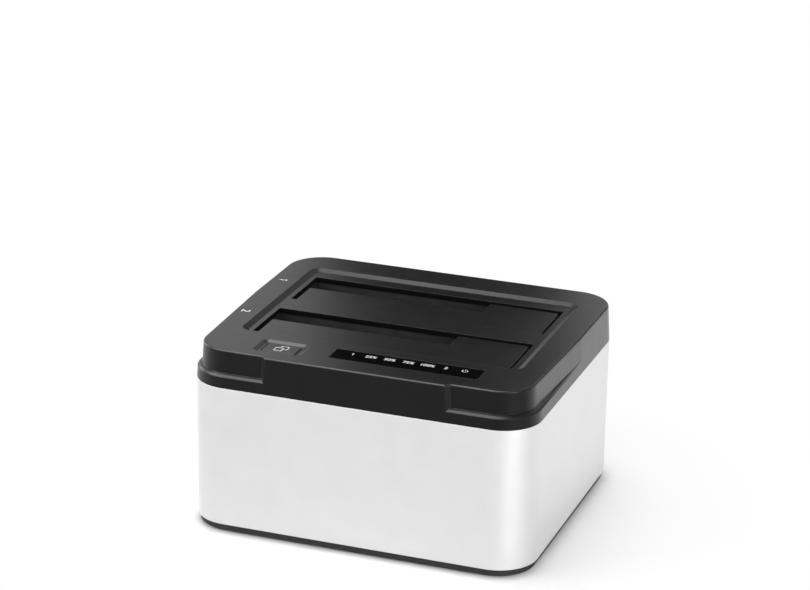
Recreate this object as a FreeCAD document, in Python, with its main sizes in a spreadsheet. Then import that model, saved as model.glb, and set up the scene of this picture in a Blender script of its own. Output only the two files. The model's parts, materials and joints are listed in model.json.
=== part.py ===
import FreeCAD, Part
import Sketcher
import math
import os
import re

from FreeCAD import Rotation, Vector

# Dual bay hard drive docking station, in millimetres.
# The origin is on the surface it stands on, below the middle of the case. +Z is up,
# the front with the button and the status window faces -Y, and +X is to the right.

# Driving sizes, kept in the spreadsheet
SIZES = {
    # Case: sleeve, base and feet
    "case_width": 140.0,
    "case_depth": 121.0,
    "corner_radius": 16.0,
    "sleeve_height": 57.3,
    "sleeve_wall": 1.6,
    "fit_gap": 0.3,
    "foot_height": 0.6,
    "foot_radius": 6.5,
    "foot_seat": 0.8,
    "base_strip": 2.9,
    "base_inset": 0.9,
    "base_floor": 2.2,
    "base_lip_height": 5.5,
    "lip_wall": 1.6,
    "base_bevel": 0.4,
    "vent_length": 22.0,
    "vent_width": 2.4,
    "vent_pitch": 6.0,
    "vent_row": 17.0,
    "post_side": 9.5,
    "post_end": 12.0,
    "post_radius": 4.0,
    "post_web": 3.0,
    # Top cover
    "rim_height": 5.6,
    "cap_height": 9.1,
    "cover_lean": 0.9,
    "ledge_depth": 2.1,
    "ledge_slope": 1.2,
    "ledge_crown": 0.35,
    "top_round": 0.8,
    "step_round": 0.9,
    "step_half_width": 36.6,
    "step_flare": 1.4,
    "ledge_length": 70.0,
    "cover_wall": 2.2,
    "plate_thickness": 2.2,
    "spigot_depth": 4.0,
    "dish_depth": 1.0,
    "dish_slope": 2.4,
    "dish_side": 2.2,
    "dish_front": 0.5,
    "dish_rear": 6.2,
    # Drive bays
    "bay_width": 106.8,
    "bay_depth": 27.8,
    "bay_divider": 11.8,
    "bays_centre": 2.5,
    "slot_length": 75.9,
    "slot_depth": 11.2,
    # Flaps and their hinges
    "flap_step": 0.6,
    "flap_thickness": 1.6,
    "flap_side_gap": 1.3,
    "flap_rear_gap": 1.0,
    "flap_front_gap": 0.3,
    "flap_corner": 1.0,
    "flap_rib": 1.4,
    "flap_rib_width": 1.2,
    "hinge_back": 1.9,
    "hinge_drop": 1.4,
    "rod_radius": 0.6,
    "barrel_radius": 1.2,
    "barrel_length": 14.0,
    "running_gap": 0.05,
    "lug_length": 2.6,
    "lug_half": 1.8,
    "tongue_reach": 1.2,
    "tongue_height": 1.3,
    "tongue_length": 24.0,
    "spring_wire": 0.25,
    "spring_radius": 1.1,
    "spring_pitch": 0.95,
    "spring_turns": 3.0,
    "spring_leg": 7.0,
    # Bay frame
    "frame_wall": 1.6,
    "frame_floor": 2.0,
    "drive_rest": 30.0,
    "drive_width": 101.6,
    "drive_height": 26.1,
    "drive_gap": 0.5,
    "well_side": 0.2,
    "well_rear": 0.3,
    "well_front": 1.5,
    "rib_width": 2.0,
    "side_rib_top": 40.0,
    "front_rib_top": 39.0,
    "bridge_length": 12.0,
    "bridge_thickness": 2.5,
    "bridge_level": 64.5,
    "bridge_x": 44.0,
    "bridge_boss_radius": 2.2,
    # Boards
    "board_thickness": 1.6,
    "board_side_gap": 14.5,
    "board_front_gap": 8.5,
    "board_rear_gap": 4.5,
    "board_boss_side": 7.5,
    "board_boss_front_gap": 6.0,
    "board_boss_rear_gap": 12.0,
    "board_boss_radius": 3.2,
    "lamp_board_thickness": 1.2,
    "lamp_board_level": 66.0,
    "lamp_board_side_gap": 14.0,
    "lamp_board_front_gap": 6.1,
    "lamp_board_rear_gap": 2.2,
    "hook_leg": 1.6,
    "hook_width": 6.0,
    # Drive sockets
    "socket_height": 11.5,
    "socket_reach": 5.5,
    "socket_offset": 3.5,
    "socket_centre": 20.68,
    "socket_base_length": 44.0,
    "socket_base_width": 7.2,
    "socket_base_height": 5.0,
    "socket_body_length": 38.4,
    "socket_body_width": 5.2,
    "socket_slot_width": 1.9,
    "socket_slot_depth": 6.0,
    "data_slot_length": 10.4,
    "power_slot_length": 20.8,
    "slot_spacing": 1.9,
    "tower_length": 2.4,
    "tower_rise": 1.2,
    "contact_pitch": 1.27,
    "contact_width": 0.7,
    "contact_thickness": 0.35,
    "contact_rise": 5.0,
    # Clone button and its switch
    "button_x": 35.0,
    "button_share": 0.42,
    "button_length": 14.0,
    "button_width": 8.0,
    "button_corner": 0.8,
    "button_gap": 0.2,
    "button_proud": 0.25,
    "button_bevel": 0.35,
    "button_flange": 1.0,
    "flange_thickness": 1.3,
    "recess_depth": 0.8,
    "recess_length": 19.6,
    "recess_width": 13.0,
    "recess_slope": 1.6,
    "switch_size": 6.0,
    "switch_height": 2.0,
    "plunger_radius": 1.4,
    "plunger_height": 1.7,
    # Status window and lamps
    "window_x": 15.5,
    "window_share": 0.329,
    "window_length": 60.0,
    "window_width": 10.0,
    "window_thickness": 1.2,
    "window_gap": 0.1,
    "window_shelf": 1.6,
    "lamp_first": 7.1,
    "lamp_pitch": 7.58,
    "lamp_length": 1.6,
    "lamp_width": 1.2,
    "lamp_height": 0.7,
    "guide_bar": 1.4,
    "guide_peg": 3.0,
    # Ribbon cable and its connectors
    "ribbon_x": 22.0,
    "ribbon_width": 8.0,
    "ribbon_thickness": 0.3,
    "ribbon_sag": 3.0,
    "ribbon_socket_length": 11.0,
    "ribbon_socket_width": 4.0,
    "ribbon_socket_height": 2.4,
    # Rear panel and what shows in it
    "window_bottom": 15.0,
    "rear_window_height": 26.0,
    "rear_window_half": 44.0,
    "rear_window_corner": 2.0,
    "panel_overlap": 3.0,
    "panel_plate": 2.0,
    "panel_raise": 0.7,
    "port_setback": 1.1,
    "port_gap": 0.25,
    "inlet_x": 30.0,
    "inlet_width": 9.0,
    "inlet_height": 11.0,
    "inlet_depth": 14.0,
    "inlet_axis": 6.5,
    "inlet_bore": 3.0,
    "inlet_bore_depth": 9.5,
    "inlet_pin": 1.05,
    "usb_width": 12.2,
    "usb_height": 12.8,
    "usb_rear_gap": 3.3,
    "usb_wall": 0.5,
    "usb_tongue_length": 11.0,
    "rocker_x": 30.0,
    "rocker_length": 11.4,
    "rocker_height": 7.6,
    "rocker_rise": 1.5,
    "rocker_back": 0.7,
    "rocker_dip": 0.8,
    "rocker_tilt": 10.0,
    "rocker_clearance": 0.5,
    "trunnion_radius": 0.8,
    "trunnion_reach": 0.9,
    "switch_body_length": 15.0,
    "switch_body_height": 11.0,
    "switch_body_depth": 13.6,
    "bezel_rim": 0.9,
    "bezel_thickness": 0.8,
    # Screws
    "case_screw_radius": 1.45,
    "case_screw_length": 12.0,
    "case_head_radius": 2.7,
    "case_head_height": 2.0,
    "small_screw_radius": 1.2,
    "small_screw_length": 6.0,
    "small_head_radius": 2.3,
    "small_head_height": 1.6,
    "screw_gap": 0.05,
}

# Places worked out from the sizes
PLACES = {
    "half_width": "case_width / 2",
    "half_depth": "case_depth / 2",
    "sleeve_bottom": "foot_height + base_strip",
    "sleeve_top": "sleeve_bottom + sleeve_height",
    "ledge_level": "sleeve_top + rim_height",
    "cover_top": "ledge_level + cap_height",
    "dish_level": "cover_top - dish_depth",
    "plate_under": "dish_level - plate_thickness",
    "floor_top": "foot_height + base_floor",
    "post_top": "sleeve_top - spigot_depth",
    "seat_level": "post_top - post_web",
    "inner_inset": "sleeve_wall + fit_gap",
    "bay_half": "bay_width / 2",
    "front_bay_rear": "bays_centre - bay_divider / 2",
    "front_bay_front": "front_bay_rear - bay_depth",
    "bay_step": "bay_depth + bay_divider",
    "flap_top": "dish_level - flap_step",
    "flap_under": "flap_top - flap_thickness",
    "hinge_y": "front_bay_front - hinge_back",
    "hinge_z": "plate_under - hinge_drop",
    "flap_half": "bay_half - flap_side_gap",
    "board_top": "drive_rest + socket_reach - socket_height",
    "socket_y": "front_bay_rear - well_rear - socket_offset",
    "lamp_board_top": "lamp_board_level + lamp_board_thickness",
    "panel_face": "half_depth - sleeve_wall + panel_raise",
    "port_face": "half_depth - port_setback",
    "well_inner_side": "bay_half + well_side",
    "well_inner_rear": "front_bay_rear + well_rear",
    "well_inner_front": "hinge_y - well_front",
    "barrel_end": "well_inner_side - fit_gap",
    "frame_front": "well_inner_front - frame_wall",
    "frame_rear": "well_inner_rear + bay_step + frame_wall",
    "bridge_front": "well_inner_rear + frame_wall",
    "bridge_rear": "frame_front + bay_step",
    "bridge_y": "(bridge_front + bridge_rear) / 2",
    "ledge_end": "ledge_length - half_depth",
    "post_x": "half_width - post_side",
    "post_y": "half_depth - post_end",
    "board_half_width": "half_width - board_side_gap",
    "board_front": "half_depth - board_front_gap",
    "board_rear": "half_depth - board_rear_gap",
    "board_boss_x": "board_half_width - board_boss_side",
    "board_boss_front": "board_front - board_boss_front_gap",
    "board_boss_rear": "board_rear - board_boss_rear_gap",
    "lamp_board_half_width": "half_width - lamp_board_side_gap",
    "lamp_board_front": "half_depth - lamp_board_front_gap",
    "lamp_board_rear": "lamp_board_rear_gap - frame_front",
    "lamp_hook_y": "(lamp_board_front + lamp_board_rear) / 2",
    "window_y": "window_share * half_depth - (1 - window_share) * frame_front",
    "button_y": "button_share * half_depth - (1 - button_share) * frame_front",
    "ribbon_y": "lamp_hook_y",
    "usb_depth": "port_face - frame_rear - usb_rear_gap",
}

# Screws of the main board, at opposite corners
BOARD_SCREWS = (("-board_boss_x", "-board_boss_front"), ("board_boss_x", "board_boss_rear"))

# Lean of the cover's walls, in degrees
COVER_TAPER = "atan(cover_lean / (cover_top - sleeve_top))"


doc = FreeCAD.newDocument("docking_station")
sheet = doc.addObject("Spreadsheet::Sheet", "Sizes")
for row, (alias, size) in enumerate(SIZES.items(), start=1):
    sheet.set(f"A{row}", alias)
    sheet.set(f"B{row}", str(size))
    sheet.setAlias(f"B{row}", alias)
doc.recompute()


# Expressions

def expression(text):
    """The text as the document reads it, with places written out and sizes found in the sheet."""
    def swap(match):
        word = match.group(0)
        if word in PLACES:
            return "(" + expression(PLACES[word]) + ")"
        return "Sizes." + word if word in SIZES else word
    return re.sub(r"[a-z_][a-z_0-9]*", swap, str(text))


def number(text):
    """The value of an expression, for first positions and for choosing edges."""
    return float(sheet.evalExpression(expression(text)))


def bind(item, prop, text):
    item.setExpression(prop, expression(text))


# Bodies, sketches and features

def new_body(label):
    body = doc.addObject("PartDesign::Body", label)
    body.Label = label
    if hasattr(body, "AllowCompound"):
        body.AllowCompound = True
    return body


def origin_plane(body, role):
    return next(item for item in body.Origin.OriginFeatures if item.Role == role)


def new_sketch(body, level, role="XY_Plane"):
    """A sketch on one of the body's own planes, moved along that plane's normal to the level."""
    sketch = body.newObject("Sketcher::SketchObject", "Sketch")
    sketch.AttachmentSupport = [(origin_plane(body, role), "")]
    sketch.MapMode = "FlatFace"
    bind(sketch, "AttachmentOffset.Base.z", level)
    return sketch


def hold_point(sketch, edge, end, across, up):
    """Ties one end of an edge to its place, measured from the sketch's origin."""
    for kind, text in (("DistanceX", across), ("DistanceY", up)):
        index = sketch.addConstraint(Sketcher.Constraint(kind, -1, 1, edge, end, number(text)))
        bind(sketch, f"Constraints[{index}]", text)


def outline(sketch, corners):
    """A closed outline through corners (across, up) or (across, up, radius, turn).

    A corner with a radius starts an arc; turn is 1 for an arc that runs
    counter-clockwise and -1 for one that runs clockwise.
    """
    spots = [Vector(number(corner[0]), number(corner[1]), 0) for corner in corners]
    edges = []
    for index, corner in enumerate(corners):
        start, finish = spots[index], spots[(index + 1) % len(spots)]
        if len(corner) == 2:
            edges.append(sketch.addGeometry(Part.LineSegment(start, finish), False))
            continue
        radius, turn = number(corner[2]), corner[3]
        chord = finish - start
        side = Vector(-chord.y, chord.x, 0).normalize() * turn
        rise = math.sqrt(max(radius ** 2 - chord.Length ** 2 / 4, 0))
        centre = (start + finish) / 2 + side * rise
        first, last = (start, finish) if turn > 0 else (finish, start)
        angles = [math.atan2(spot.y - centre.y, spot.x - centre.x) for spot in (first, last)]
        circle = Part.Circle(centre, Vector(0, 0, 1), radius)
        edges.append(sketch.addGeometry(Part.ArcOfCircle(circle, angles[0], angles[1]), False))
    for index, corner in enumerate(corners):
        following = (index + 1) % len(corners)
        leaving = 2 if len(corner) == 2 or corner[3] > 0 else 1
        arriving = 1 if len(corners[following]) == 2 or corners[following][3] > 0 else 2
        joined = Sketcher.Constraint("Coincident", edges[index], leaving, edges[following], arriving)
        sketch.addConstraint(joined)
    for index, corner in enumerate(corners):
        begins = 1 if len(corner) == 2 or corner[3] > 0 else 2
        hold_point(sketch, edges[index], begins, corner[0], corner[1])
        if len(corner) == 4:
            held = sketch.addConstraint(Sketcher.Constraint("Radius", edges[index], number(corner[2])))
            bind(sketch, f"Constraints[{held}]", corner[2])


def rectangle(sketch, left, right, low, high):
    outline(sketch, [(left, low), (right, low), (right, high), (left, high)])


def rounded_rectangle(sketch, left, right, low, high, radius):
    corner = (f"({radius})", 1)
    outline(sketch, [
        (f"{left} + ({radius})", low),
        (f"{right} - ({radius})", low, *corner),
        (right, f"{low} + ({radius})"),
        (right, f"{high} - ({radius})", *corner),
        (f"{right} - ({radius})", high),
        (f"{left} + ({radius})", high, *corner),
        (left, f"{high} - ({radius})"),
        (left, f"{low} + ({radius})", *corner),
    ])


def span(middle, width):
    """Both ends of a width centred on a middle."""
    return f"{middle} - 0.5 * ({width})", f"{middle} + 0.5 * ({width})"


def case_outline(sketch, inset):
    """The case's rounded outline, drawn in by the inset on every side."""
    wide, deep = f"(half_width - ({inset}))", f"(half_depth - ({inset}))"
    rounded_rectangle(sketch, f"-{wide}", wide, f"-{deep}", deep, f"corner_radius - ({inset})")


def circle(sketch, across, up, radius):
    place = Vector(number(across), number(up), 0)
    ring = sketch.addGeometry(Part.Circle(place, Vector(0, 0, 1), number(radius)), False)
    hold_point(sketch, ring, 3, across, up)
    held = sketch.addConstraint(Sketcher.Constraint("Radius", ring, number(radius)))
    bind(sketch, f"Constraints[{held}]", radius)


def pad(body, sketch, length, back=False, both=False):
    """Adds the sketch's shape along its normal, or back along it, or half each way."""
    feature = body.newObject("PartDesign::Pad", "Pad")
    feature.Profile = sketch
    feature.Reversed = back
    feature.Midplane = both
    bind(feature, "Length", length)
    return feature


def cut(body, sketch, length, along=False, both=False):
    """Cuts the sketch's shape back along its normal, or along it, or half each way."""
    feature = body.newObject("PartDesign::Pocket", "Pocket")
    feature.Profile = sketch
    feature.Reversed = along
    feature.Midplane = both
    bind(feature, "Length", length)
    return feature


def loft(body, first, *others, kind="PartDesign::AdditiveLoft"):
    feature = body.newObject(kind, "Loft")
    feature.Profile = first
    feature.Sections = list(others)
    feature.Ruled = True
    return feature


def chosen_edges(body, wanted):
    """Names of the tip's edges whose middle point and ends pass the test."""
    doc.recompute()
    names = []
    for index, edge in enumerate(body.Tip.Shape.Edges, start=1):
        middle = edge.valueAt((edge.FirstParameter + edge.LastParameter) / 2)
        if wanted(middle, [vertex.Point for vertex in edge.Vertexes]):
            names.append(f"Edge{index}")
    return names


def dress(body, kind, prop, size, wanted):
    """A fillet or chamfer on the edges that pass the test."""
    names = chosen_edges(body, wanted)
    feature = body.newObject(kind, "Dress")
    feature.Base = (feature.BaseFeature, names)
    bind(feature, prop, size)
    return feature


def fillet(body, radius, wanted):
    return dress(body, "PartDesign::Fillet", "Radius", radius, wanted)


def chamfer(body, size, wanted):
    return dress(body, "PartDesign::Chamfer", "Size", size, wanted)


def pattern(body, feature, role, spacing, count):
    """Repeats a feature along a main axis of the body, a fixed step apart."""
    repeat = body.newObject("PartDesign::LinearPattern", "Pattern")
    repeat.Originals = [feature]
    repeat.Direction = (origin_plane(body, role), [""])
    repeat.Mode = "Spacing"
    bind(repeat, "Offset", spacing)
    repeat.Occurrences = count
    body.Tip = repeat
    return repeat


def mirror(body, features, role="YZ_Plane"):
    mirrored = body.newObject("PartDesign::Mirrored", "Mirrored")
    mirrored.Originals = features
    mirrored.MirrorPlane = (origin_plane(body, role), [""])
    body.Tip = mirrored
    return mirrored


def at_level(level):
    """A test for edges that lie wholly at one height."""
    height = number(level)
    return lambda middle, ends: all(abs(spot.z - height) < 1e-4 for spot in [middle, *ends])


# Plain solids and groups

def place(item, across, deep, level):
    for axis, text in zip("xyz", (across, deep, level)):
        bind(item, f"Placement.Base.{axis}", text)


def block(label, left, right, front, rear, low, high):
    item = doc.addObject("Part::Box", label)
    item.Label = label
    bind(item, "Length", f"{right} - ({left})")
    bind(item, "Width", f"{rear} - ({front})")
    bind(item, "Height", f"{high} - ({low})")
    place(item, left, front, low)
    return item


def rod(label, radius, length, across, deep, level, axis="z"):
    item = doc.addObject("Part::Cylinder", label)
    item.Label = label
    bind(item, "Radius", radius)
    bind(item, "Height", length)
    turned = {"z": Rotation(), "x": Rotation(Vector(0, 1, 0), 90), "y": Rotation(Vector(1, 0, 0), -90)}
    item.Placement.Rotation = turned[axis]
    place(item, across, deep, level)
    return item


def group(label, members):
    item = doc.addObject("Part::Compound", label)
    item.Label = label
    item.Links = members
    return item


def screw(label, across, deep, seat, head_radius, head_height, radius, length, up, recessed):
    """A screw whose head sits against the seat; up means that it points up."""
    body = new_body(label)
    ring = new_sketch(body, "0")
    circle(ring, "0", "0", head_radius)
    pad(body, ring, head_height, back=up)
    core = new_sketch(body, "0")
    circle(core, "0", "0", radius)
    pad(body, core, length, back=not up)
    if recessed:
        long_side, short_side = f"(0.55 * {head_radius})", f"(0.12 * {head_radius})"
        for wide, deep_half in ((long_side, short_side), (short_side, long_side)):
            recess = new_sketch(body, f"-1 * {head_height}" if up else head_height)
            rectangle(recess, f"-{wide}", wide, f"-{deep_half}", deep_half)
            cut(body, recess, f"0.5 * {head_height}", along=up)
    place(body, across, deep, seat)
    return body


# Case

def base_tray():
    """The black moulded base: floor, lip inside the sleeve, screw posts and board bosses."""
    body = new_body("base_tray")
    strip = new_sketch(body, "foot_height")
    case_outline(strip, "base_inset")
    pad(body, strip, "base_strip")
    chamfer(body, "base_bevel", at_level("foot_height"))
    lip = new_sketch(body, "sleeve_bottom")
    case_outline(lip, "inner_inset")
    pad(body, lip, "base_lip_height")
    inside = new_sketch(body, "floor_top")
    case_outline(inside, "inner_inset + lip_wall")
    cut(body, inside, "sleeve_bottom + base_lip_height - floor_top", along=True)
    posts = new_sketch(body, "foot_height + foot_seat")
    for side in ("-", ""):
        for end in ("-", ""):
            circle(posts, f"{side}post_x", f"{end}post_y", "post_radius")
    pad(body, posts, "post_top - foot_height - foot_seat")
    bosses = new_sketch(body, "floor_top")
    for spot in BOARD_SCREWS:
        circle(bosses, *spot, "board_boss_radius")
    for across, deep in (("board_boss_x", "-board_boss_front"), ("-board_boss_x", "board_boss_rear")):
        rectangle(bosses, *span(across, "board_boss_radius"), *span(deep, "board_boss_radius"))
    pad(body, bosses, "board_top - board_thickness - floor_top")
    feet = new_sketch(body, "foot_height")
    wells = new_sketch(body, "foot_height")
    shanks = new_sketch(body, "foot_height")
    for side in ("-", ""):
        for end in ("-", ""):
            spot = (f"{side}post_x", f"{end}post_y")
            circle(feet, *spot, "foot_radius + 0.5 * fit_gap")
            circle(wells, *spot, "case_head_radius + fit_gap")
            circle(shanks, *spot, "case_screw_radius + fit_gap")
    cut(body, feet, "foot_seat", along=True)
    cut(body, wells, "seat_level - foot_height", along=True)
    cut(body, shanks, "post_top - foot_height", along=True)
    pilots = new_sketch(body, "board_top - board_thickness")
    for spot in BOARD_SCREWS:
        circle(pilots, *spot, "small_screw_radius + screw_gap")
    cut(body, pilots, "small_screw_length")
    for end in ("-", ""):
        vent = new_sketch(body, "foot_height")
        low = f"{end}vent_row - 0.5 * vent_length"
        rectangle(vent, *span("-4.5 * vent_pitch", "vent_width"), low, f"{low} + vent_length")
        slot = cut(body, vent, "base_floor", along=True)
        pattern(body, slot, "X_Axis", "vent_pitch", 10)
    return body


def feet():
    """Four rubber feet, each seated in its recess."""
    names = {("-", "-"): "foot_front_left", ("", "-"): "foot_front_right",
             ("-", ""): "foot_rear_left", ("", ""): "foot_rear_right"}
    for (side, end), label in names.items():
        body = new_body(label)
        disc = new_sketch(body, "0")
        circle(disc, "0", "0", "foot_radius")
        pad(body, disc, "foot_height + foot_seat")
        place(body, f"{side}post_x", f"{end}post_y", "0")


def sleeve():
    """The satin aluminium tube round the case, with a window for the rear panel."""
    body = new_body("sleeve")
    ring = new_sketch(body, "sleeve_bottom")
    case_outline(ring, "0")
    case_outline(ring, "sleeve_wall")
    pad(body, ring, "sleeve_height")
    window = new_sketch(body, "-1 * half_depth - 1", "XZ_Plane")
    rounded_rectangle(window, "-rear_window_half", "rear_window_half", "window_bottom",
                      "window_bottom + rear_window_height", "rear_window_corner")
    cut(body, window, "2 * sleeve_wall + 1", along=True)
    return body


def ledge_outline(sketch, back, wall, bend, end):
    """The area cut away round one front corner, running out to nothing along the side."""
    outline(sketch, [
        (end, "-half_depth - 5"),
        ("half_width + 5", "-half_depth - 5"),
        ("half_width + 5", "ledge_end"),
        (f"half_width - {wall}", "ledge_end"),
        (f"half_width - {back}", "corner_radius - half_depth", f"corner_radius - {back}", -1),
        ("half_width - corner_radius", f"{back} - half_depth"),
        (f"{end} + {back} + 0.4142 * {bend}", f"{back} - half_depth", bend, 1),
        (f"{end} + {back} - 0.2929 * {bend}", f"{back} - half_depth - 0.2929 * {bend}"),
        (end, "-half_depth"),
    ])


def ledge_cut(body):
    """Cuts the step back over both front corners, with a crowned ledge below it.

    The flush middle between the two steps narrows towards the top.
    """
    sections = []
    low, crown = "ledge_level - ledge_slope", "ledge_level - ledge_crown"
    low_wall, crown_wall = (f"({wall_inset(level)} - 0.05)" for level in (low, crown))
    ledge_wall, top_wall = (f"({wall_inset(level)} - 0.05)" for level in ("ledge_level", "cover_top"))
    top_back = f"(ledge_depth + {top_wall} - {ledge_wall})"
    crown_back = f"(0.45 * ledge_depth + 0.55 * {crown_wall})"
    for level, back, wall, bend, end in (
            (low, low_wall, low_wall, "0.2", "step_half_width"),
            (crown, crown_back, crown_wall, "0.5", "step_half_width"),
            ("ledge_level", "ledge_depth", ledge_wall, "step_round", "step_half_width"),
            ("cover_top", top_back, top_wall, "step_round", "(step_half_width - step_flare)")):
        section = new_sketch(body, level)
        ledge_outline(section, back, wall, bend, end)
        sections.append(section)
    step = loft(body, *sections, kind="PartDesign::SubtractiveLoft")
    mirror(body, [step])


def wall_inset(level):
    """How far the leaning wall of the cover stands in at a height."""
    return f"cover_lean * ({level} - sleeve_top) / (cover_top - sleeve_top)"


def dish(body, left, right, low, high, radius, slope, depth):
    """A shallow sunk area in the cover's top with sloping sides."""
    top = new_sketch(body, "cover_top")
    rounded_rectangle(top, f"{left} - ({slope})", f"{right} + ({slope})", f"{low} - ({slope})",
                      f"{high} + ({slope})", f"{radius} + ({slope})")
    floor = new_sketch(body, f"cover_top - ({depth})")
    rounded_rectangle(floor, left, right, low, high, radius)
    loft(body, top, floor, kind="PartDesign::SubtractiveLoft")


def bay_corners(index):
    """Front and rear edges of a bay's mouth."""
    return f"front_bay_front + {index} * bay_step", f"front_bay_rear + {index} * bay_step"


def top_cover():
    """The black moulded cover: stepped cap, dish, bay mouths, recesses, spigot and bosses."""
    body = new_body("top_cover")
    low = new_sketch(body, "sleeve_top")
    case_outline(low, "0")
    walls = pad(body, low, "cover_top - sleeve_top")
    bind(walls, "TaperAngle", f"-1 * ({COVER_TAPER})")
    ledge_cut(body)
    fillet(body, "top_round", at_level("cover_top"))
    dish(body, "-bay_half - dish_side", "bay_half + dish_side", "front_bay_front - dish_front",
         "front_bay_rear + bay_step + dish_rear", "2", "dish_slope", "dish_depth")
    mouths = new_sketch(body, "plate_under - 1")
    for index in (0, 1):
        front, rear = bay_corners(index)
        rectangle(mouths, "-bay_half", "bay_half", front, rear)
    cut(body, mouths, "cap_height", along=True)
    dish(body, *span("-button_x", "recess_length - 2 * recess_slope"),
         *span("-button_y", "recess_width - 2 * recess_slope"),
         "1", "recess_slope", "recess_depth")
    shelf = new_sketch(body, "cover_top - window_thickness")
    rectangle(shelf, *span("window_x", "window_length + 2 * window_gap"),
              *span("-window_y", "window_width + 2 * window_gap"))
    cut(body, shelf, "cap_height", along=True)
    spigot = new_sketch(body, "sleeve_top - spigot_depth")
    case_outline(spigot, "inner_inset")
    pad(body, spigot, "spigot_depth + 1")
    hollow = new_sketch(body, "sleeve_top - spigot_depth")
    case_outline(hollow, "inner_inset + lip_wall")
    cut(body, hollow, "spigot_depth + rim_height - cover_wall", along=True)
    upper = new_sketch(body, "ledge_level - cover_wall - 1")
    case_outline(upper, "ledge_depth + cover_lean + cover_wall")
    cut(body, upper, "plate_under - ledge_level + cover_wall + 1", along=True)
    openings = new_sketch(body, "plate_under - 1")
    rounded_rectangle(openings, *span("-button_x", "button_length + 2 * button_gap"),
                      *span("-button_y", "button_width + 2 * button_gap"), "1")
    rectangle(openings, *span("window_x", "window_length - 2 * window_shelf"),
              *span("-window_y", "window_width - 2 * window_shelf"))
    cut(body, openings, "cap_height", along=True)
    cover_bosses(body)
    lamp_board_hooks(body)
    hinge_lugs(body)
    return body


def cover_bosses(body):
    """Bosses under the cover for the case and bay frame screws, with pilot holes."""
    kinds = (
        ("post_top", "case_screw_radius + screw_gap", "case_screw_length", "0.8 * post_radius",
         [(f"{side}post_x", f"{end}post_y") for side in ("-", "") for end in ("-", "")]),
        ("bridge_level", "small_screw_radius + screw_gap", "small_screw_length", "bridge_boss_radius",
         [(f"{side}bridge_x", "bridge_y") for side in ("-", "")]),
    )
    for bottom, pilot, depth, radius, spots in kinds:
        boss = new_sketch(body, bottom)
        hole = new_sketch(body, bottom)
        for across, deep in spots:
            circle(boss, across, deep, radius)
            circle(hole, across, deep, pilot)
        pad(body, boss, f"plate_under - ({bottom})")
        cut(body, hole, depth, along=True)


def lamp_board_hooks(body):
    """Stops above the lamp board and hooks that hold it up at both ends."""
    stops = new_sketch(body, "plate_under")
    legs = new_sketch(body, "plate_under")
    hooks = new_sketch(body, "lamp_board_level - 0.1")
    edge = "lamp_board_half_width"
    for side in ("-", ""):
        rectangle(stops, *span(f"{side}({edge} - 3)", "hook_leg"), *span("-lamp_hook_y", "hook_width"))
        rectangle(legs, *span(f"{side}({edge} + fit_gap + 0.5 * hook_leg)", "hook_leg"),
                  *span("-lamp_hook_y", "hook_width"))
        rectangle(hooks, *span(f"{side}({edge} + 0.5 * fit_gap)", "2 * hook_leg"),
                  *span("-lamp_hook_y", "hook_width"))
    pad(body, stops, "plate_under - lamp_board_top", back=True)
    pad(body, legs, "plate_under - lamp_board_level + 0.1 + hook_leg", back=True)
    pad(body, hooks, "hook_leg", back=True)


def hinge_lugs(body):
    """Lugs under the cover at both ends of each hinge rod, drilled for the rod."""
    lugs = new_sketch(body, "plate_under")
    holes = new_sketch(body, "0", "YZ_Plane")
    for index in (0, 1):
        axis = f"hinge_y + {index} * bay_step"
        for left, right in (("bay_half + well_side", "bay_half + well_side + lug_length"),
                            ("-bay_half - well_side - lug_length", "-bay_half - well_side")):
            rectangle(lugs, left, right, f"{axis} - lug_half", f"{axis} + lug_half")
        circle(holes, axis, "hinge_z", "rod_radius + 0.4 * running_gap")
    pad(body, lugs, "hinge_drop + lug_half", back=True)
    cut(body, holes, "2 * (bay_half + well_side + lug_length) - 1", both=True)


# Drive bays

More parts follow.
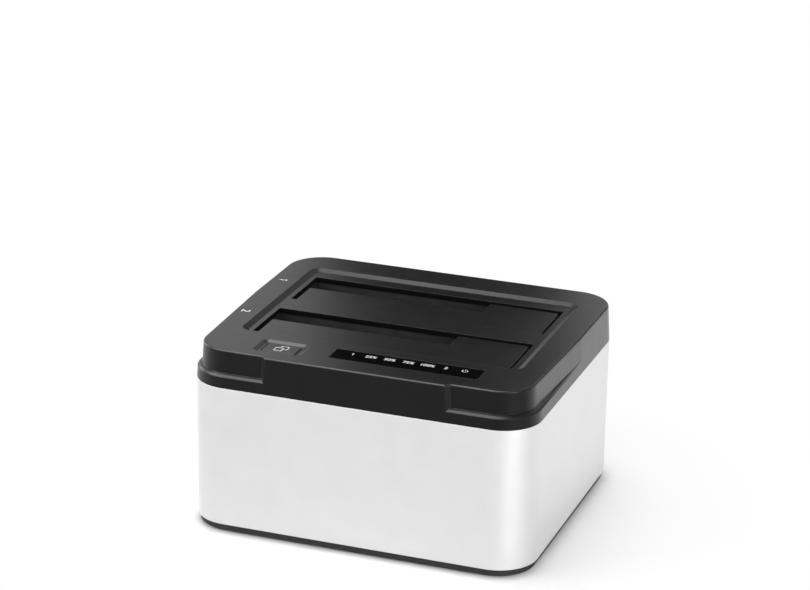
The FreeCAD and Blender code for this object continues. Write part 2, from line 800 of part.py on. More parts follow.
def bay_frame():
    """The moulded wells that guide the drives down on to their sockets."""
    body = new_body("bay_frame")
    block_outline = new_sketch(body, "drive_rest - frame_floor")
    rectangle(block_outline, "-well_inner_side - frame_wall", "well_inner_side + frame_wall",
              "frame_front", "frame_rear")
    pad(body, block_outline, "plate_under - 0.1 - drive_rest + frame_floor")
    wells = new_sketch(body, "drive_rest")
    for index in (0, 1):
        rectangle(wells, "-well_inner_side", "well_inner_side", f"well_inner_front + {index} * bay_step",
                  f"well_inner_rear + {index} * bay_step")
    cut(body, wells, "plate_under - drive_rest", along=True)
    between = new_sketch(body, "drive_rest - frame_floor")
    rectangle(between, "-well_inner_side", "well_inner_side", "bridge_front", "bridge_rear")
    cut(body, between, "plate_under - drive_rest + frame_floor", along=True)
    sides = new_sketch(body, "drive_rest")
    for index in (0, 1):
        for share in ("0.35", "0.85"):
            middle = f"front_bay_rear + {index} * bay_step - {share} * drive_height"
            for left, right in (("-well_inner_side - 0.5", "-0.5 * drive_width - drive_gap"),
                                ("0.5 * drive_width + drive_gap", "well_inner_side + 0.5")):
                rectangle(sides, left, right, *span(middle, "rib_width"))
    pad(body, sides, "side_rib_top - drive_rest")
    fronts = new_sketch(body, "drive_rest")
    for index in (0, 1):
        for across in ("-0.4", "-0.1", "0.1", "0.4"):
            middle = f"{across} * bay_width"
            rectangle(fronts, *span(middle, "rib_width"),
                      f"well_inner_front + {index} * bay_step - 0.5",
                      f"front_bay_rear + {index} * bay_step - drive_height - 2 * well_rear")
    pad(body, fronts, "front_rib_top - drive_rest")
    hinge_room = new_sketch(body, "0", "YZ_Plane")
    for index in (0, 1):
        axis = f"hinge_y + {index} * bay_step"
        rectangle(hinge_room, f"{axis} - lug_half - fit_gap - 1.5", f"{axis} + lug_half + fit_gap",
                  "hinge_z - lug_half - fit_gap", "plate_under + 1")
    cut(body, hinge_room, "2 * bay_width", both=True)
    tongue_room = new_sketch(body, "plate_under - 10")
    for index in (0, 1):
        rear = f"well_inner_rear + {index} * bay_step"
        rectangle(tongue_room, "bay_half - flap_side_gap - tongue_length - 3", "bay_half - 0.5",
                  f"{rear} - 1", f"{rear} + frame_wall")
    cut(body, tongue_room, "10", along=True)
    socket_holes = new_sketch(body, "drive_rest - frame_floor - 1")
    for index in (0, 1):
        middle = f"socket_y + {index} * bay_step"
        rectangle(socket_holes, *span("-socket_centre", "socket_base_length + 2 * fit_gap"),
                  *span(middle, "socket_base_width + 2 * fit_gap"))
    cut(body, socket_holes, "frame_floor + 2", along=True)
    bridges = new_sketch(body, "bridge_level")
    bridge_holes = new_sketch(body, "bridge_level")
    for side in ("-", ""):
        rectangle(bridges, *span(f"{side}bridge_x", "bridge_length"), "bridge_front - 0.5",
                  "bridge_rear + 0.5")
        circle(bridge_holes, f"{side}bridge_x", "bridge_y", "small_screw_radius + fit_gap")
    pad(body, bridges, "bridge_thickness", back=True)
    cut(body, bridge_holes, "bridge_thickness")
    return body


def flap(label, index):
    """A dust flap on its hinge barrels, cut back at the rear left for a slim drive."""
    body = new_body(label)
    axis = f"(hinge_y + {index} * bay_step)"
    front, rear = bay_corners(index)
    front_edge = f"{front} + flap_front_gap"
    rear_edge = f"{rear} - flap_rear_gap"
    plate = new_sketch(body, "flap_under")
    slot_right = "-bay_half + slot_length"
    outline(plate, [
        ("-flap_half", front_edge),
        ("flap_half", front_edge),
        ("flap_half", f"{rear_edge} - flap_corner"),
        ("flap_half - flap_corner", rear_edge),
        (f"{slot_right}", rear_edge),
        (f"{slot_right}", f"{rear} - slot_depth"),
        ("-flap_half", f"{rear} - slot_depth"),
    ])
    pad(body, plate, "flap_thickness")
    chamfer(body, "0.25 * flap_thickness", at_level("flap_top"))
    ribs = new_sketch(body, "flap_under")
    for share in ("-0.62", "-0.2", "0.2", "0.5"):
        middle = f"{share} * flap_half"
        rectangle(ribs, *span(middle, "flap_rib_width"), f"{front_edge} + 2",
                  f"{rear} - slot_depth - 1")
    pad(body, ribs, "flap_rib", back=True)
    tongue = new_sketch(body, "plate_under - 0.2")
    rectangle(tongue, "flap_half - tongue_length - 1", "flap_half - 2", f"{rear_edge} - 4",
              f"{rear_edge} + flap_rear_gap + tongue_reach")
    pad(body, tongue, "tongue_height", back=True)
    neck = new_sketch(body, "plate_under - 0.2")
    rectangle(neck, "flap_half - tongue_length - 1", "flap_half - 2", f"{rear_edge} - 4",
              f"{rear_edge} - 1")
    pad(body, neck, "0.4 + flap_under - plate_under")
    for left in ("-flap_half", "barrel_end - barrel_length"):
        arm = new_sketch(body, left, "YZ_Plane")
        outline(arm, [
            (f"{axis}", "hinge_z - 0.8 * barrel_radius"),
            (f"{front_edge} + 3", "hinge_z - 0.8 * barrel_radius"),
            (f"{front_edge} + 5", "flap_under + 0.2"),
            (f"{front_edge} + 0.1", "flap_under + 0.2"),
            (f"{front_edge} + 0.1", "hinge_z + 0.9 * barrel_radius"),
            (f"{axis}", "hinge_z + 0.9 * barrel_radius"),
        ])
        pad(body, arm, "flap_half - barrel_end + barrel_length")
    for left in ("-barrel_end", "barrel_end - barrel_length"):
        barrel = new_sketch(body, left, "YZ_Plane")
        circle(barrel, axis, "hinge_z", "barrel_radius")
        pad(body, barrel, "barrel_length")
    bore = new_sketch(body, "0", "YZ_Plane")
    circle(bore, axis, "hinge_z", "rod_radius + running_gap")
    cut(body, bore, "2 * bay_width", both=True)
    return body


def hinge_rod(label, index):
    half = "bay_half + well_side + lug_length - 0.6"
    return rod(label, "rod_radius", f"2 * ({half})", f"-1 * ({half})", f"hinge_y + {index} * bay_step",
               "hinge_z", axis="x")


def biarc(first, heading, last, leaving):
    """Two arcs that meet smoothly and join two points with given directions."""
    gap = last - first
    both = heading + leaving
    slack = 2 * (1 - heading.dot(leaving))
    reach = gap.dot(both)
    handle = (math.sqrt(reach ** 2 + slack * gap.dot(gap)) - reach) / slack
    near, far = first + heading * handle, last - leaving * handle
    meet = (near + far) / 2
    arcs = []
    for start, corner, finish in ((first, near, meet), (meet, far, last)):
        middle = (start + finish) / 2
        bend = (start - middle).Length / (corner - start).Length
        arcs.append(Part.Arc(start, middle + (corner - middle) * (bend / (1 + bend)), finish).toShape())
    return arcs


def flap_spring(label, index):
    """A torsion spring round the hinge rod, one leg under the cover and one under the flap."""
    radius, wire = number("spring_radius"), number("spring_wire")
    pitch, turns, leg = number("spring_pitch"), number("spring_turns"), number("spring_leg")
    left = -number("barrel_end - barrel_length") + 2
    deep, level = number(f"hinge_y + {index} * bay_step"), number("hinge_z")

    def on_coil(turn):
        angle, round_way = 2 * math.pi * turn, 2 * math.pi * radius
        rise, reach = math.cos(angle), math.sin(angle)
        spot = Vector(left + pitch * turn, deep - radius * reach, level + radius * rise)
        return spot, Vector(pitch, -round_way * rise, -round_way * reach).normalize()

    edges = []
    start, heading = on_coil(0)
    edges.append(Part.LineSegment(start - heading * leg, start).toShape())
    halves = int(round(2 * turns))
    for half in range(halves):
        first, going = on_coil(half / 2)
        last, leaving = on_coil((half + 1) / 2)
        edges.extend(biarc(first, going, last, leaving))
    end, heading = on_coil(halves / 2)
    edges.append(Part.LineSegment(end, end + heading * 0.5 * leg).toShape())
    spine = Part.Wire(edges)
    begin, facing = edges[0].Vertexes[0].Point, on_coil(0)[1]
    side = facing.cross(Vector(0, 0, 1)).normalize()
    corners = [begin + Rotation(facing, 60 * turn).multVec(side * wire) for turn in range(7)]
    solid = spine.makePipeShell([Part.makePolygon(corners)], True, False)
    samples = [edge.valueAt(edge.FirstParameter + share / 8 * (edge.LastParameter - edge.FirstParameter))
               for edge in edges[1:-1] for share in range(8)]
    per_turn = len(samples) / turns
    gaps = [(one - other).Length - 2 * wire for first, one in enumerate(samples)
            for second, other in enumerate(samples[first + 1:], start=first + 1)
            if second - first > 0.6 * per_turn]
    print(f"{label}: least gap between turns {min(gaps):.2f}")
    item = doc.addObject("Part::Feature", label)
    item.Label = label
    item.Shape = solid
    return item


def drive_socket(label, index):
    """A drive socket: base, raised body with two keyed slots, and a guide tower at each end."""
    body = new_body(label)
    middle = f"socket_y + {index} * bay_step"
    foot = new_sketch(body, "board_top")
    rectangle(foot, *span("-socket_centre", "socket_base_length"),
              *span(middle, "socket_base_width"))
    pad(body, foot, "socket_base_height")
    upper = new_sketch(body, "board_top")
    rectangle(upper, *span("-socket_centre", "socket_body_length"),
              *span(middle, "socket_body_width"))
    pad(body, upper, "socket_height")
    towers = new_sketch(body, "board_top")
    for left, right in (("-0.5 * socket_base_length", "-0.5 * socket_base_length + tower_length"),
                        ("0.5 * socket_base_length - tower_length", "0.5 * socket_base_length")):
        rectangle(towers, f"{left} - socket_centre", f"{right} - socket_centre",
                  f"{middle} - 0.25 * socket_base_width", f"{middle} + 0.25 * socket_base_width")
    pad(body, towers, "socket_height + tower_rise")
    slots = new_sketch(body, "board_top + socket_height")
    key = "0.5 * socket_slot_width"
    data, power = data_left(), power_left()
    for inner, outer, turned in ((data, f"{data} + data_slot_length", "1"),
                                 (f"{power} + power_slot_length", power, "-1")):
        outline(slots, [
            (inner, f"{middle} - 0.5 * socket_slot_width"),
            (outer, f"{middle} - 0.5 * socket_slot_width"),
            (outer, f"{middle} + 0.5 * socket_slot_width"),
            (f"{inner} + {turned} * 1.4", f"{middle} + 0.5 * socket_slot_width"),
            (f"{inner} + {turned} * 1.4", f"{middle} + 0.5 * socket_slot_width + {key}"),
            (inner, f"{middle} + 0.5 * socket_slot_width + {key}"),
        ])
    cut(body, slots, "socket_slot_depth")
    return body


def data_left():
    return "-socket_centre - 0.5 * (data_slot_length + power_slot_length + slot_spacing)"


def power_left():
    return f"{data_left()} + data_slot_length + slot_spacing"


def socket_contacts(label, index):
    """Seven data and fifteen power contacts on the front wall of the socket's slots."""
    body = new_body(label)
    front = f"socket_y + {index} * bay_step - 0.5 * socket_slot_width"
    rows = ((data_left(), "data_slot_length", 7), (power_left(), "power_slot_length", 15))
    for left, length, count in rows:
        strip = new_sketch(body, "board_top + socket_height - socket_slot_depth")
        start = f"{left} + 0.5 * {length} - {(count - 1) / 2} * contact_pitch - 0.5 * contact_width"
        rectangle(strip, start, f"{start} + contact_width", front, f"{front} + contact_thickness")
        first = pad(body, strip, "contact_rise")
        pattern(body, first, "X_Axis", "contact_pitch", count)
    return body


# Boards

def main_board():
    body = new_body("main_board")
    plate = new_sketch(body, "board_top - board_thickness")
    rectangle(plate, "-board_half_width", "board_half_width", "-board_front", "board_rear")
    for spot in BOARD_SCREWS:
        circle(plate, *spot, "small_screw_radius + fit_gap")
    pad(body, plate, "board_thickness")
    return body


def flat_chip(label, across, deep, wide, long, high, level="board_top"):
    """A square chip with a bevelled top."""
    body = new_body(label)
    plan = new_sketch(body, level)
    rectangle(plan, f"{across} - {wide / 2}", f"{across} + {wide / 2}", f"{deep} - {long / 2}",
              f"{deep} + {long / 2}")
    pad(body, plan, str(high))
    top = number(level) + high
    chamfer(body, str(0.25 * high), lambda middle, ends: all(abs(spot.z - top) < 1e-4 for spot in ends))
    return body


def board_parts():
    """What stands on the main board, in front of the bays and behind them."""
    front_row = "-board_front + 6"
    flat_chip("bridge_chip", "8", front_row, 9, 9, 1.2)
    chips = (("33", front_row, 5.2, 6.2), ("41", front_row, 4.0, 5.0), ("-8", front_row, 6.5, 6.5),
             ("16", "board_rear - 8", 5.0, 6.2))
    group("board_chips", [flat_chip(f"chip_{index}", *chip, 1.4) for index, chip in enumerate(chips)])
    spots = (("-33", front_row), ("-board_half_width + 5", "board_rear - 5"), ("-14", "board_rear - 6"),
             ("rocker_x + switch_body_length", "board_rear - 4"))
    group("capacitors", [rod(f"can_{index}", "3.15", "7.7", *spot, "board_top")
                         for index, spot in enumerate(spots)])
    coils = [flat_chip(f"coil_{index}", f"-board_half_width + {inward}", "frame_rear + 2.4", 6, 6, 3)
             for index, inward in enumerate((15.5, 33.5))]
    group("power_inductors", coils)
    flat_chip("crystal", "-2", f"{front_row} + 4", 5.0, 3.2, 0.9)


def lamp_board():
    """The board under the cover's front that carries the lamps and the push switch."""
    body = new_body("lamp_board")
    plate = new_sketch(body, "lamp_board_level")
    rectangle(plate, "-lamp_board_half_width", "lamp_board_half_width", "-lamp_board_front",
              "-lamp_board_rear")
    pad(body, plate, "lamp_board_thickness")
    return body


def status_lamps():
    """Seven lamps in a row under the status window."""
    body = new_body("status_lamps")
    lamp = new_sketch(body, "lamp_board_top")
    rectangle(lamp, *span("-lamp_first", "lamp_length"),
              *span("-window_y", "lamp_width"))
    first = pad(body, lamp, "lamp_height")
    pattern(body, first, "X_Axis", "lamp_pitch", 7)
    return body


def light_guide():
    """A clear bar with one peg per lamp, held up against the status window."""
    body = new_body("light_guide")
    bar = new_sketch(body, "plate_under - guide_bar")
    rectangle(bar, *span("window_x", "window_length - 2 * window_shelf"),
              *span("-window_y", "guide_peg"))
    pad(body, bar, "guide_bar")
    peg = new_sketch(body, "lamp_board_top + lamp_height + 0.3")
    rectangle(peg, *span("-lamp_first", "guide_peg"),
              *span("-window_y", "guide_peg"))
    first = pad(body, peg, "cover_top - window_thickness - 0.05 - lamp_board_top - lamp_height - 0.3")
    pattern(body, first, "X_Axis", "lamp_pitch", 7)
    return body


def status_window():
    body = new_body("status_window")
    lens = new_sketch(body, "cover_top - window_thickness")
    rectangle(lens, *span("window_x", "window_length"),
              *span("-window_y", "window_width"))
    pad(body, lens, "window_thickness - 0.1")
    return body


def clone_button():
    """The push button: crowned cap, flange that keeps it in, and a stem on the switch."""
    body = new_body("clone_button")
    sides = (*span("-button_x", "button_length"),
             *span("-button_y", "button_width"))
    top = "cover_top - recess_depth + button_proud"
    cap = new_sketch(body, "plate_under - 0.1")
    rounded_rectangle(cap, *sides, "button_corner")
    pad(body, cap, f"{top} - plate_under + 0.1")
    chamfer(body, "button_bevel", at_level(top))
    flange = new_sketch(body, "plate_under - 0.1")
    wider = [f"{side} {sign} button_flange" for side, sign in zip(sides, "-+-+")]
    rectangle(flange, *wider)
    pad(body, flange, "flange_thickness", back=True)
    stem = new_sketch(body, "plate_under - 0.1")
    circle(stem, "-button_x", "-button_y", "plunger_radius")
    pad(body, stem, "plate_under - 0.1 - lamp_board_top - switch_height + 1 - plunger_height", back=True)
    return body


def push_switch():
    """The small push switch on the lamp board, with its separate plunger."""
    body = new_body("push_switch")
    case = new_sketch(body, "lamp_board_top")
    rectangle(case, *span("-button_x", "switch_size"), *span("-button_y", "switch_size"))
    pad(body, case, "switch_height")
    hole = new_sketch(body, "lamp_board_top + switch_height")
    circle(hole, "-button_x", "-button_y", "plunger_radius + running_gap")
    cut(body, hole, "switch_height - 0.3")
    rod("switch_plunger", "plunger_radius", "plunger_height", "-button_x", "-button_y",
        "lamp_board_top + switch_height - 1")
    return body


def ribbon():
    """The ribbon cable between the boards, bowed a little, and a connector at each end."""
    left, right = span("ribbon_x", "ribbon_socket_length")
    front, rear = span("-ribbon_y", "ribbon_socket_width")
    block("lamp_board_connector", left, right, front, rear, "lamp_board_level - ribbon_socket_height",
          "lamp_board_level")
    block("main_board_connector", left, right, front, rear, "board_top", "board_top + ribbon_socket_height")
    body = new_body("ribbon_cable")
    bow = new_sketch(body, "ribbon_x", "YZ_Plane")
    low, high = "board_top + ribbon_socket_height", "lamp_board_level - ribbon_socket_height"
    half_span = f"(0.5 * ({high} - {low}))"
    bend = f"(({half_span} ^ 2 + ribbon_sag ^ 2) / (2 * ribbon_sag))"
    outline(bow, [
        ("-ribbon_y", low, bend, -1),
        ("-ribbon_y", high),
        ("-ribbon_y - ribbon_thickness", high, bend, 1),
        ("-ribbon_y - ribbon_thickness", low),
    ])
    pad(body, bow, "ribbon_width", both=True)
    return body


# Rear

def rear_panel():
    """The black panel behind the sleeve's window, with a hole for each port."""
    body = new_body("rear_panel")
    plate = new_sketch(body, "-1 * (half_depth - sleeve_wall)", "XZ_Plane")
    rectangle(plate, "-rear_window_half - panel_overlap", "rear_window_half + panel_overlap",
              "window_bottom - panel_overlap", "window_bottom + rear_window_height + panel_overlap")
    pad(body, plate, "panel_plate")
    raised = new_sketch(body, "-1 * panel_face", "XZ_Plane")
    rounded_rectangle(raised, "-rear_window_half + 0.15", "rear_window_half - 0.15", "window_bottom + 0.15",
                      "window_bottom + rear_window_height - 0.15", "rear_window_corner")
    pad(body, raised, "panel_raise")
    ports = new_sketch(body, "-1 * half_depth - 1", "XZ_Plane")
    rectangle(ports, *span("-inlet_x", "inlet_width + 2 * port_gap"),
              "board_top - port_gap", "board_top + inlet_height + port_gap")
    rectangle(ports, "-0.5 * usb_width - port_gap", "0.5 * usb_width + port_gap", "board_top - port_gap",
              "board_top + usb_height + port_gap")
    rectangle(ports, *span("rocker_x", "switch_body_length + 2 * port_gap"),
              "board_top - port_gap", "board_top + switch_body_height + port_gap")
    cut(body, ports, "20", along=True)
    return body


def power_inlet():
    """The barrel socket for the power plug and its centre pin."""
    body = new_body("power_inlet")
    case = new_sketch(body, "-1 * port_face", "XZ_Plane")
    rectangle(case, *span("-inlet_x", "inlet_width"), "board_top",
              "board_top + inlet_height")
    pad(body, case, "inlet_depth")
    bore = new_sketch(body, "-1 * port_face", "XZ_Plane")
    circle(bore, "-inlet_x", "board_top + inlet_axis", "inlet_bore")
    cut(body, bore, "inlet_bore_depth", along=True)
    rod("inlet_pin", "inlet_pin", "inlet_bore_depth - 0.5", "-inlet_x", "port_face - inlet_bore_depth",
        "board_top + inlet_axis", axis="y")
    return body


def usb_socket():
    """The square USB socket with a stepped mouth, and the tongue inside it."""
    body = new_body("usb_socket")
    shell = new_sketch(body, "-1 * port_face", "XZ_Plane")
    rectangle(shell, "-0.5 * usb_width", "0.5 * usb_width", "board_top", "board_top + usb_height")
    pad(body, shell, "usb_depth")
    mouth = new_sketch(body, "-1 * port_face", "XZ_Plane")
    half, top = "(0.5 * usb_width - usb_wall)", "(board_top + usb_height - usb_wall)"
    outline(mouth, [
        (f"-{half}", "board_top + usb_wall"),
        (half, "board_top + usb_wall"),
        (half, f"{top} - 4.6"),
        (f"{half} - 1.4", f"{top} - 3.6"),
        (f"{half} - 1.4", top),
        (f"-{half} + 1.4", top),
        (f"-{half} + 1.4", f"{top} - 3.6"),
        (f"-{half}", f"{top} - 4.6"),
    ])
    cut(body, mouth, "usb_depth - 3", along=True)
    back = "port_face - usb_depth + 3"
    lower = block("usb_lower_tongue", "-2.8", "2.8", back, f"{back} + usb_tongue_length", "board_top + 2.6",
                  "board_top + 5.6")
    upper = block("usb_upper_tongue", "-2.6", "2.6", back, f"{back} + usb_tongue_length", "board_top + 9.2",
                  "board_top + 10.6")
    group("usb_tongues", [lower, upper])
    return body


def power_switch():
    """The rocker switch: housing with a bezel, rocker on two trunnions, and terminals."""
    body = new_body("switch_housing")
    half, low, high = "(0.5 * switch_body_length)", "board_top", "board_top + switch_body_height"
    middle = "(board_top + 0.5 * switch_body_height)"
    case = new_sketch(body, "-1 * panel_face", "XZ_Plane")
    rectangle(case, f"rocker_x - {half}", f"rocker_x + {half}", low, high)
    pad(body, case, "switch_body_depth")
    bezel = new_sketch(body, "-1 * panel_face - bezel_thickness", "XZ_Plane")
    rounded_rectangle(bezel, f"rocker_x - {half} - bezel_rim", f"rocker_x + {half} + bezel_rim",
                      f"{low} - bezel_rim", f"{high} + bezel_rim", "1")
    pad(body, bezel, "bezel_thickness")
    cavity = new_sketch(body, "-1 * panel_face - bezel_thickness", "XZ_Plane")
    rectangle(cavity, *span("rocker_x", "rocker_length + 2 * rocker_clearance"),
              f"{middle} - 0.5 * rocker_height - 0.2", f"{middle} + 0.5 * rocker_height + 0.2")
    cut(body, cavity, "bezel_thickness + rocker_back + 5", along=True)
    holes = new_sketch(body, middle)
    circle(holes, "rocker_x", "panel_face - 1.6", "trunnion_radius + running_gap")
    cut(body, holes, "rocker_height + 2 * trunnion_reach + 0.2", both=True)
    rocker = new_body("power_rocker")
    profile = new_sketch(rocker, "0")
    reach = "(0.5 * rocker_length)"
    outline(profile, [
        (f"-{reach}", "-rocker_back"),
        ("-2", "-rocker_back - 0.8"),
        ("2", "-rocker_back - 0.8"),
        (reach, "-rocker_back"),
        (reach, "rocker_rise"),
        ("0", "rocker_rise - rocker_dip"),
        (f"-{reach}", "rocker_rise"),
    ])
    pad(rocker, profile, "rocker_height", both=True)
    pins = new_sketch(rocker, "0")
    circle(pins, "0", "0", "trunnion_radius")
    pad(rocker, pins, "rocker_height + 2 * trunnion_reach", both=True)
    rocker.Placement.Rotation = Rotation(Vector(0, 0, 1), -number("rocker_tilt"))
    place(rocker, "rocker_x", "panel_face - 1.6", middle)
    rear = "panel_face - switch_body_depth"
    blades = [block(f"blade_{step}", f"rocker_x + {4.7 * step} - 0.6", f"rocker_x + {4.7 * step} + 0.6",
                    f"{rear} - 0.8", rear, "board_top", "board_top + 5") for step in (-1, 0, 1)]
    group("switch_terminals", blades)
    return body


# Fasteners

def screws():
    """Each kind of screw is one group of separate screws."""
    sides = ("-", "")
    corners = [(f"{side}post_x", f"{end}post_y") for side in sides for end in sides]
    bridges = [(f"{side}bridge_x", "bridge_y") for side in sides]
    large = ("case_head_radius", "case_head_height", "case_screw_radius")
    small = ("small_head_radius", "small_head_height", "small_screw_radius")
    kinds = (
        ("case_screws", corners, "seat_level", large, "case_screw_length", True, True),
        ("bay_frame_screws", bridges, "bridge_level - bridge_thickness", small,
         "small_screw_length + bridge_thickness - 0.5", True, False),
        ("main_board_screws", BOARD_SCREWS, "board_top", small, "small_screw_length", False, False),
    )
    for label, spots, seat, head, length, up, recessed in kinds:
        group(label, [screw(f"{label}_{index}", *spot, seat, *head, length, up, recessed)
                      for index, spot in enumerate(spots)])


NODES = [
    "base_tray", "foot_front_left", "foot_front_right", "foot_rear_left", "foot_rear_right", "sleeve",
    "top_cover", "bay_frame", "front_flap", "rear_flap", "front_hinge_rod", "rear_hinge_rod",
    "front_flap_spring", "rear_flap_spring", "front_drive_socket", "front_socket_contacts",
    "rear_drive_socket", "rear_socket_contacts", "main_board", "bridge_chip", "board_chips", "capacitors",
    "power_inductors", "crystal", "lamp_board", "status_lamps", "light_guide", "status_window",
    "clone_button", "push_switch", "switch_plunger", "lamp_board_connector", "main_board_connector",
    "ribbon_cable", "rear_panel", "power_inlet", "inlet_pin", "usb_socket", "usb_tongues",
    "switch_housing", "power_rocker", "switch_terminals", "case_screws", "bay_frame_screws",
    "main_board_screws",
]


def build():
    base_tray()
    feet()
    sleeve()
    top_cover()
    bay_frame()
    for index, side in enumerate(("front", "rear")):
        flap(f"{side}_flap", index)
        hinge_rod(f"{side}_hinge_rod", index)
        flap_spring(f"{side}_flap_spring", index)
        drive_socket(f"{side}_drive_socket", index)
        socket_contacts(f"{side}_socket_contacts", index)
    main_board()
    board_parts()
    lamp_board()
    status_lamps()
    light_guide()
    status_window()
    clone_button()
    push_switch()
    ribbon()
    rear_panel()
    power_inlet()
    usb_socket()
    power_switch()
    screws()
    doc.recompute()


def check_and_write():
    """Stops on any failed object or shape, then writes one file per piece."""
    failed = [f"{item.getParent().Label if item.getParent() else ''} {item.Label}: {item.State}"
              for item in doc.Objects if "Invalid" in item.State or "Error" in item.State]
    if failed:
        raise RuntimeError("failed objects: " + "; ".join(failed))
    pieces = {item.Label: item for item in doc.Objects}
    for name in NODES:
        shape = pieces[name].Shape
        if shape.isNull() or not shape.isValid() or not shape.Solids:
            raise RuntimeError(f"{name} has no valid solid")
    os.makedirs("parts", exist_ok=True)
    for name in NODES:
        pieces[name].Shape.exportStep(f"parts/{name}.step")
        box = pieces[name].Shape.BoundBox
        print(f"{name}: {len(pieces[name].Shape.Solids)} solids, {pieces[name].Shape.Volume:.0f} mm3, "
              f"{box.XLength:.1f} x {box.YLength:.1f} x {box.ZLength:.1f}")


build()
check_and_write()
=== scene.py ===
"""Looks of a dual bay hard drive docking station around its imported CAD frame."""

import json
import logging
import math
from dataclasses import dataclass
from enum import Enum

import bmesh
import bpy
from mathutils import Matrix, Vector


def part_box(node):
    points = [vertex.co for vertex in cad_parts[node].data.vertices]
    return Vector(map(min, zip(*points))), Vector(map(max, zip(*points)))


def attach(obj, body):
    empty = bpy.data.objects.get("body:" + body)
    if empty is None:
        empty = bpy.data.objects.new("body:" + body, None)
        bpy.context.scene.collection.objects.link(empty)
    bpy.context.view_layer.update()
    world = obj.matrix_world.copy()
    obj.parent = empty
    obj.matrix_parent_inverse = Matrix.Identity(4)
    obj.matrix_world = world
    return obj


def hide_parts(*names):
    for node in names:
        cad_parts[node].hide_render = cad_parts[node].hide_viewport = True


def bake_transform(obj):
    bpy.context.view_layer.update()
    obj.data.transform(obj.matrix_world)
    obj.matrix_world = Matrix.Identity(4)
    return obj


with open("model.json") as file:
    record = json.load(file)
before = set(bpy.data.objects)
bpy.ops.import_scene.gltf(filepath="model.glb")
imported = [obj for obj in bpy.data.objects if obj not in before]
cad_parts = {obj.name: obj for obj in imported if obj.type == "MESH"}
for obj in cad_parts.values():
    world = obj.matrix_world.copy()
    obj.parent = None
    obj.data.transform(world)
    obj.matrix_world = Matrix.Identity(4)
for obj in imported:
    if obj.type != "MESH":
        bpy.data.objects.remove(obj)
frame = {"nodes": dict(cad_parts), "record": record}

LOG = logging.getLogger("docking_station")
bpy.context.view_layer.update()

Colour = tuple[float, float, float]
Point = tuple[float, float, float]
Spot = tuple[float, float]
Mesh = bmesh.types.BMesh
Socket = bpy.types.NodeSocket

# Thickness of printed ink.
INK = 0.00004


class Pattern(Enum):
    """What a surface's fine detail looks like."""

    MOULDED = "moulded"
    RIPPLED = "rippled"
    BLASTED = "blasted"
    DRAWN = "drawn"
    BOARD = "board"
    RIBBED = "ribbed"


@dataclass(frozen=True)
class Finish:
    """One finish of the record, with the detail that its surface shows.

    Args:
        slot: Name of the material slot in the record.
        colour: Base colour, linear.
        roughness: Middle roughness.
        pattern: Kind of fine detail.
        grain: Size of the fine detail, in metres.
        height: Height of the fine detail, in metres.
        metallic: Share of metal.
        spread: How far the roughness wanders either way.
        tone: How far the colour wanders, as a share.
        wear_and_sheen: How much lighter the edges are, as a share, partly from rubbing and partly a
            painted highlight along them.
        edge: Rounding that the light sees on sharp edges, in metres.
        specular: Specular level of the shader.
        tint: Share of the specular light kept where it is met head on.
        transmission: Share of light that goes through.
    """

    slot: str
    colour: Colour
    roughness: float
    pattern: Pattern
    grain: float
    height: float
    metallic: float = 0.0
    spread: float = 0.05
    tone: float = 0.06
    wear_and_sheen: float = 0.25
    edge: float = 0.00025
    specular: float = 0.5
    tint: float = 1.0
    transmission: float = 0.0
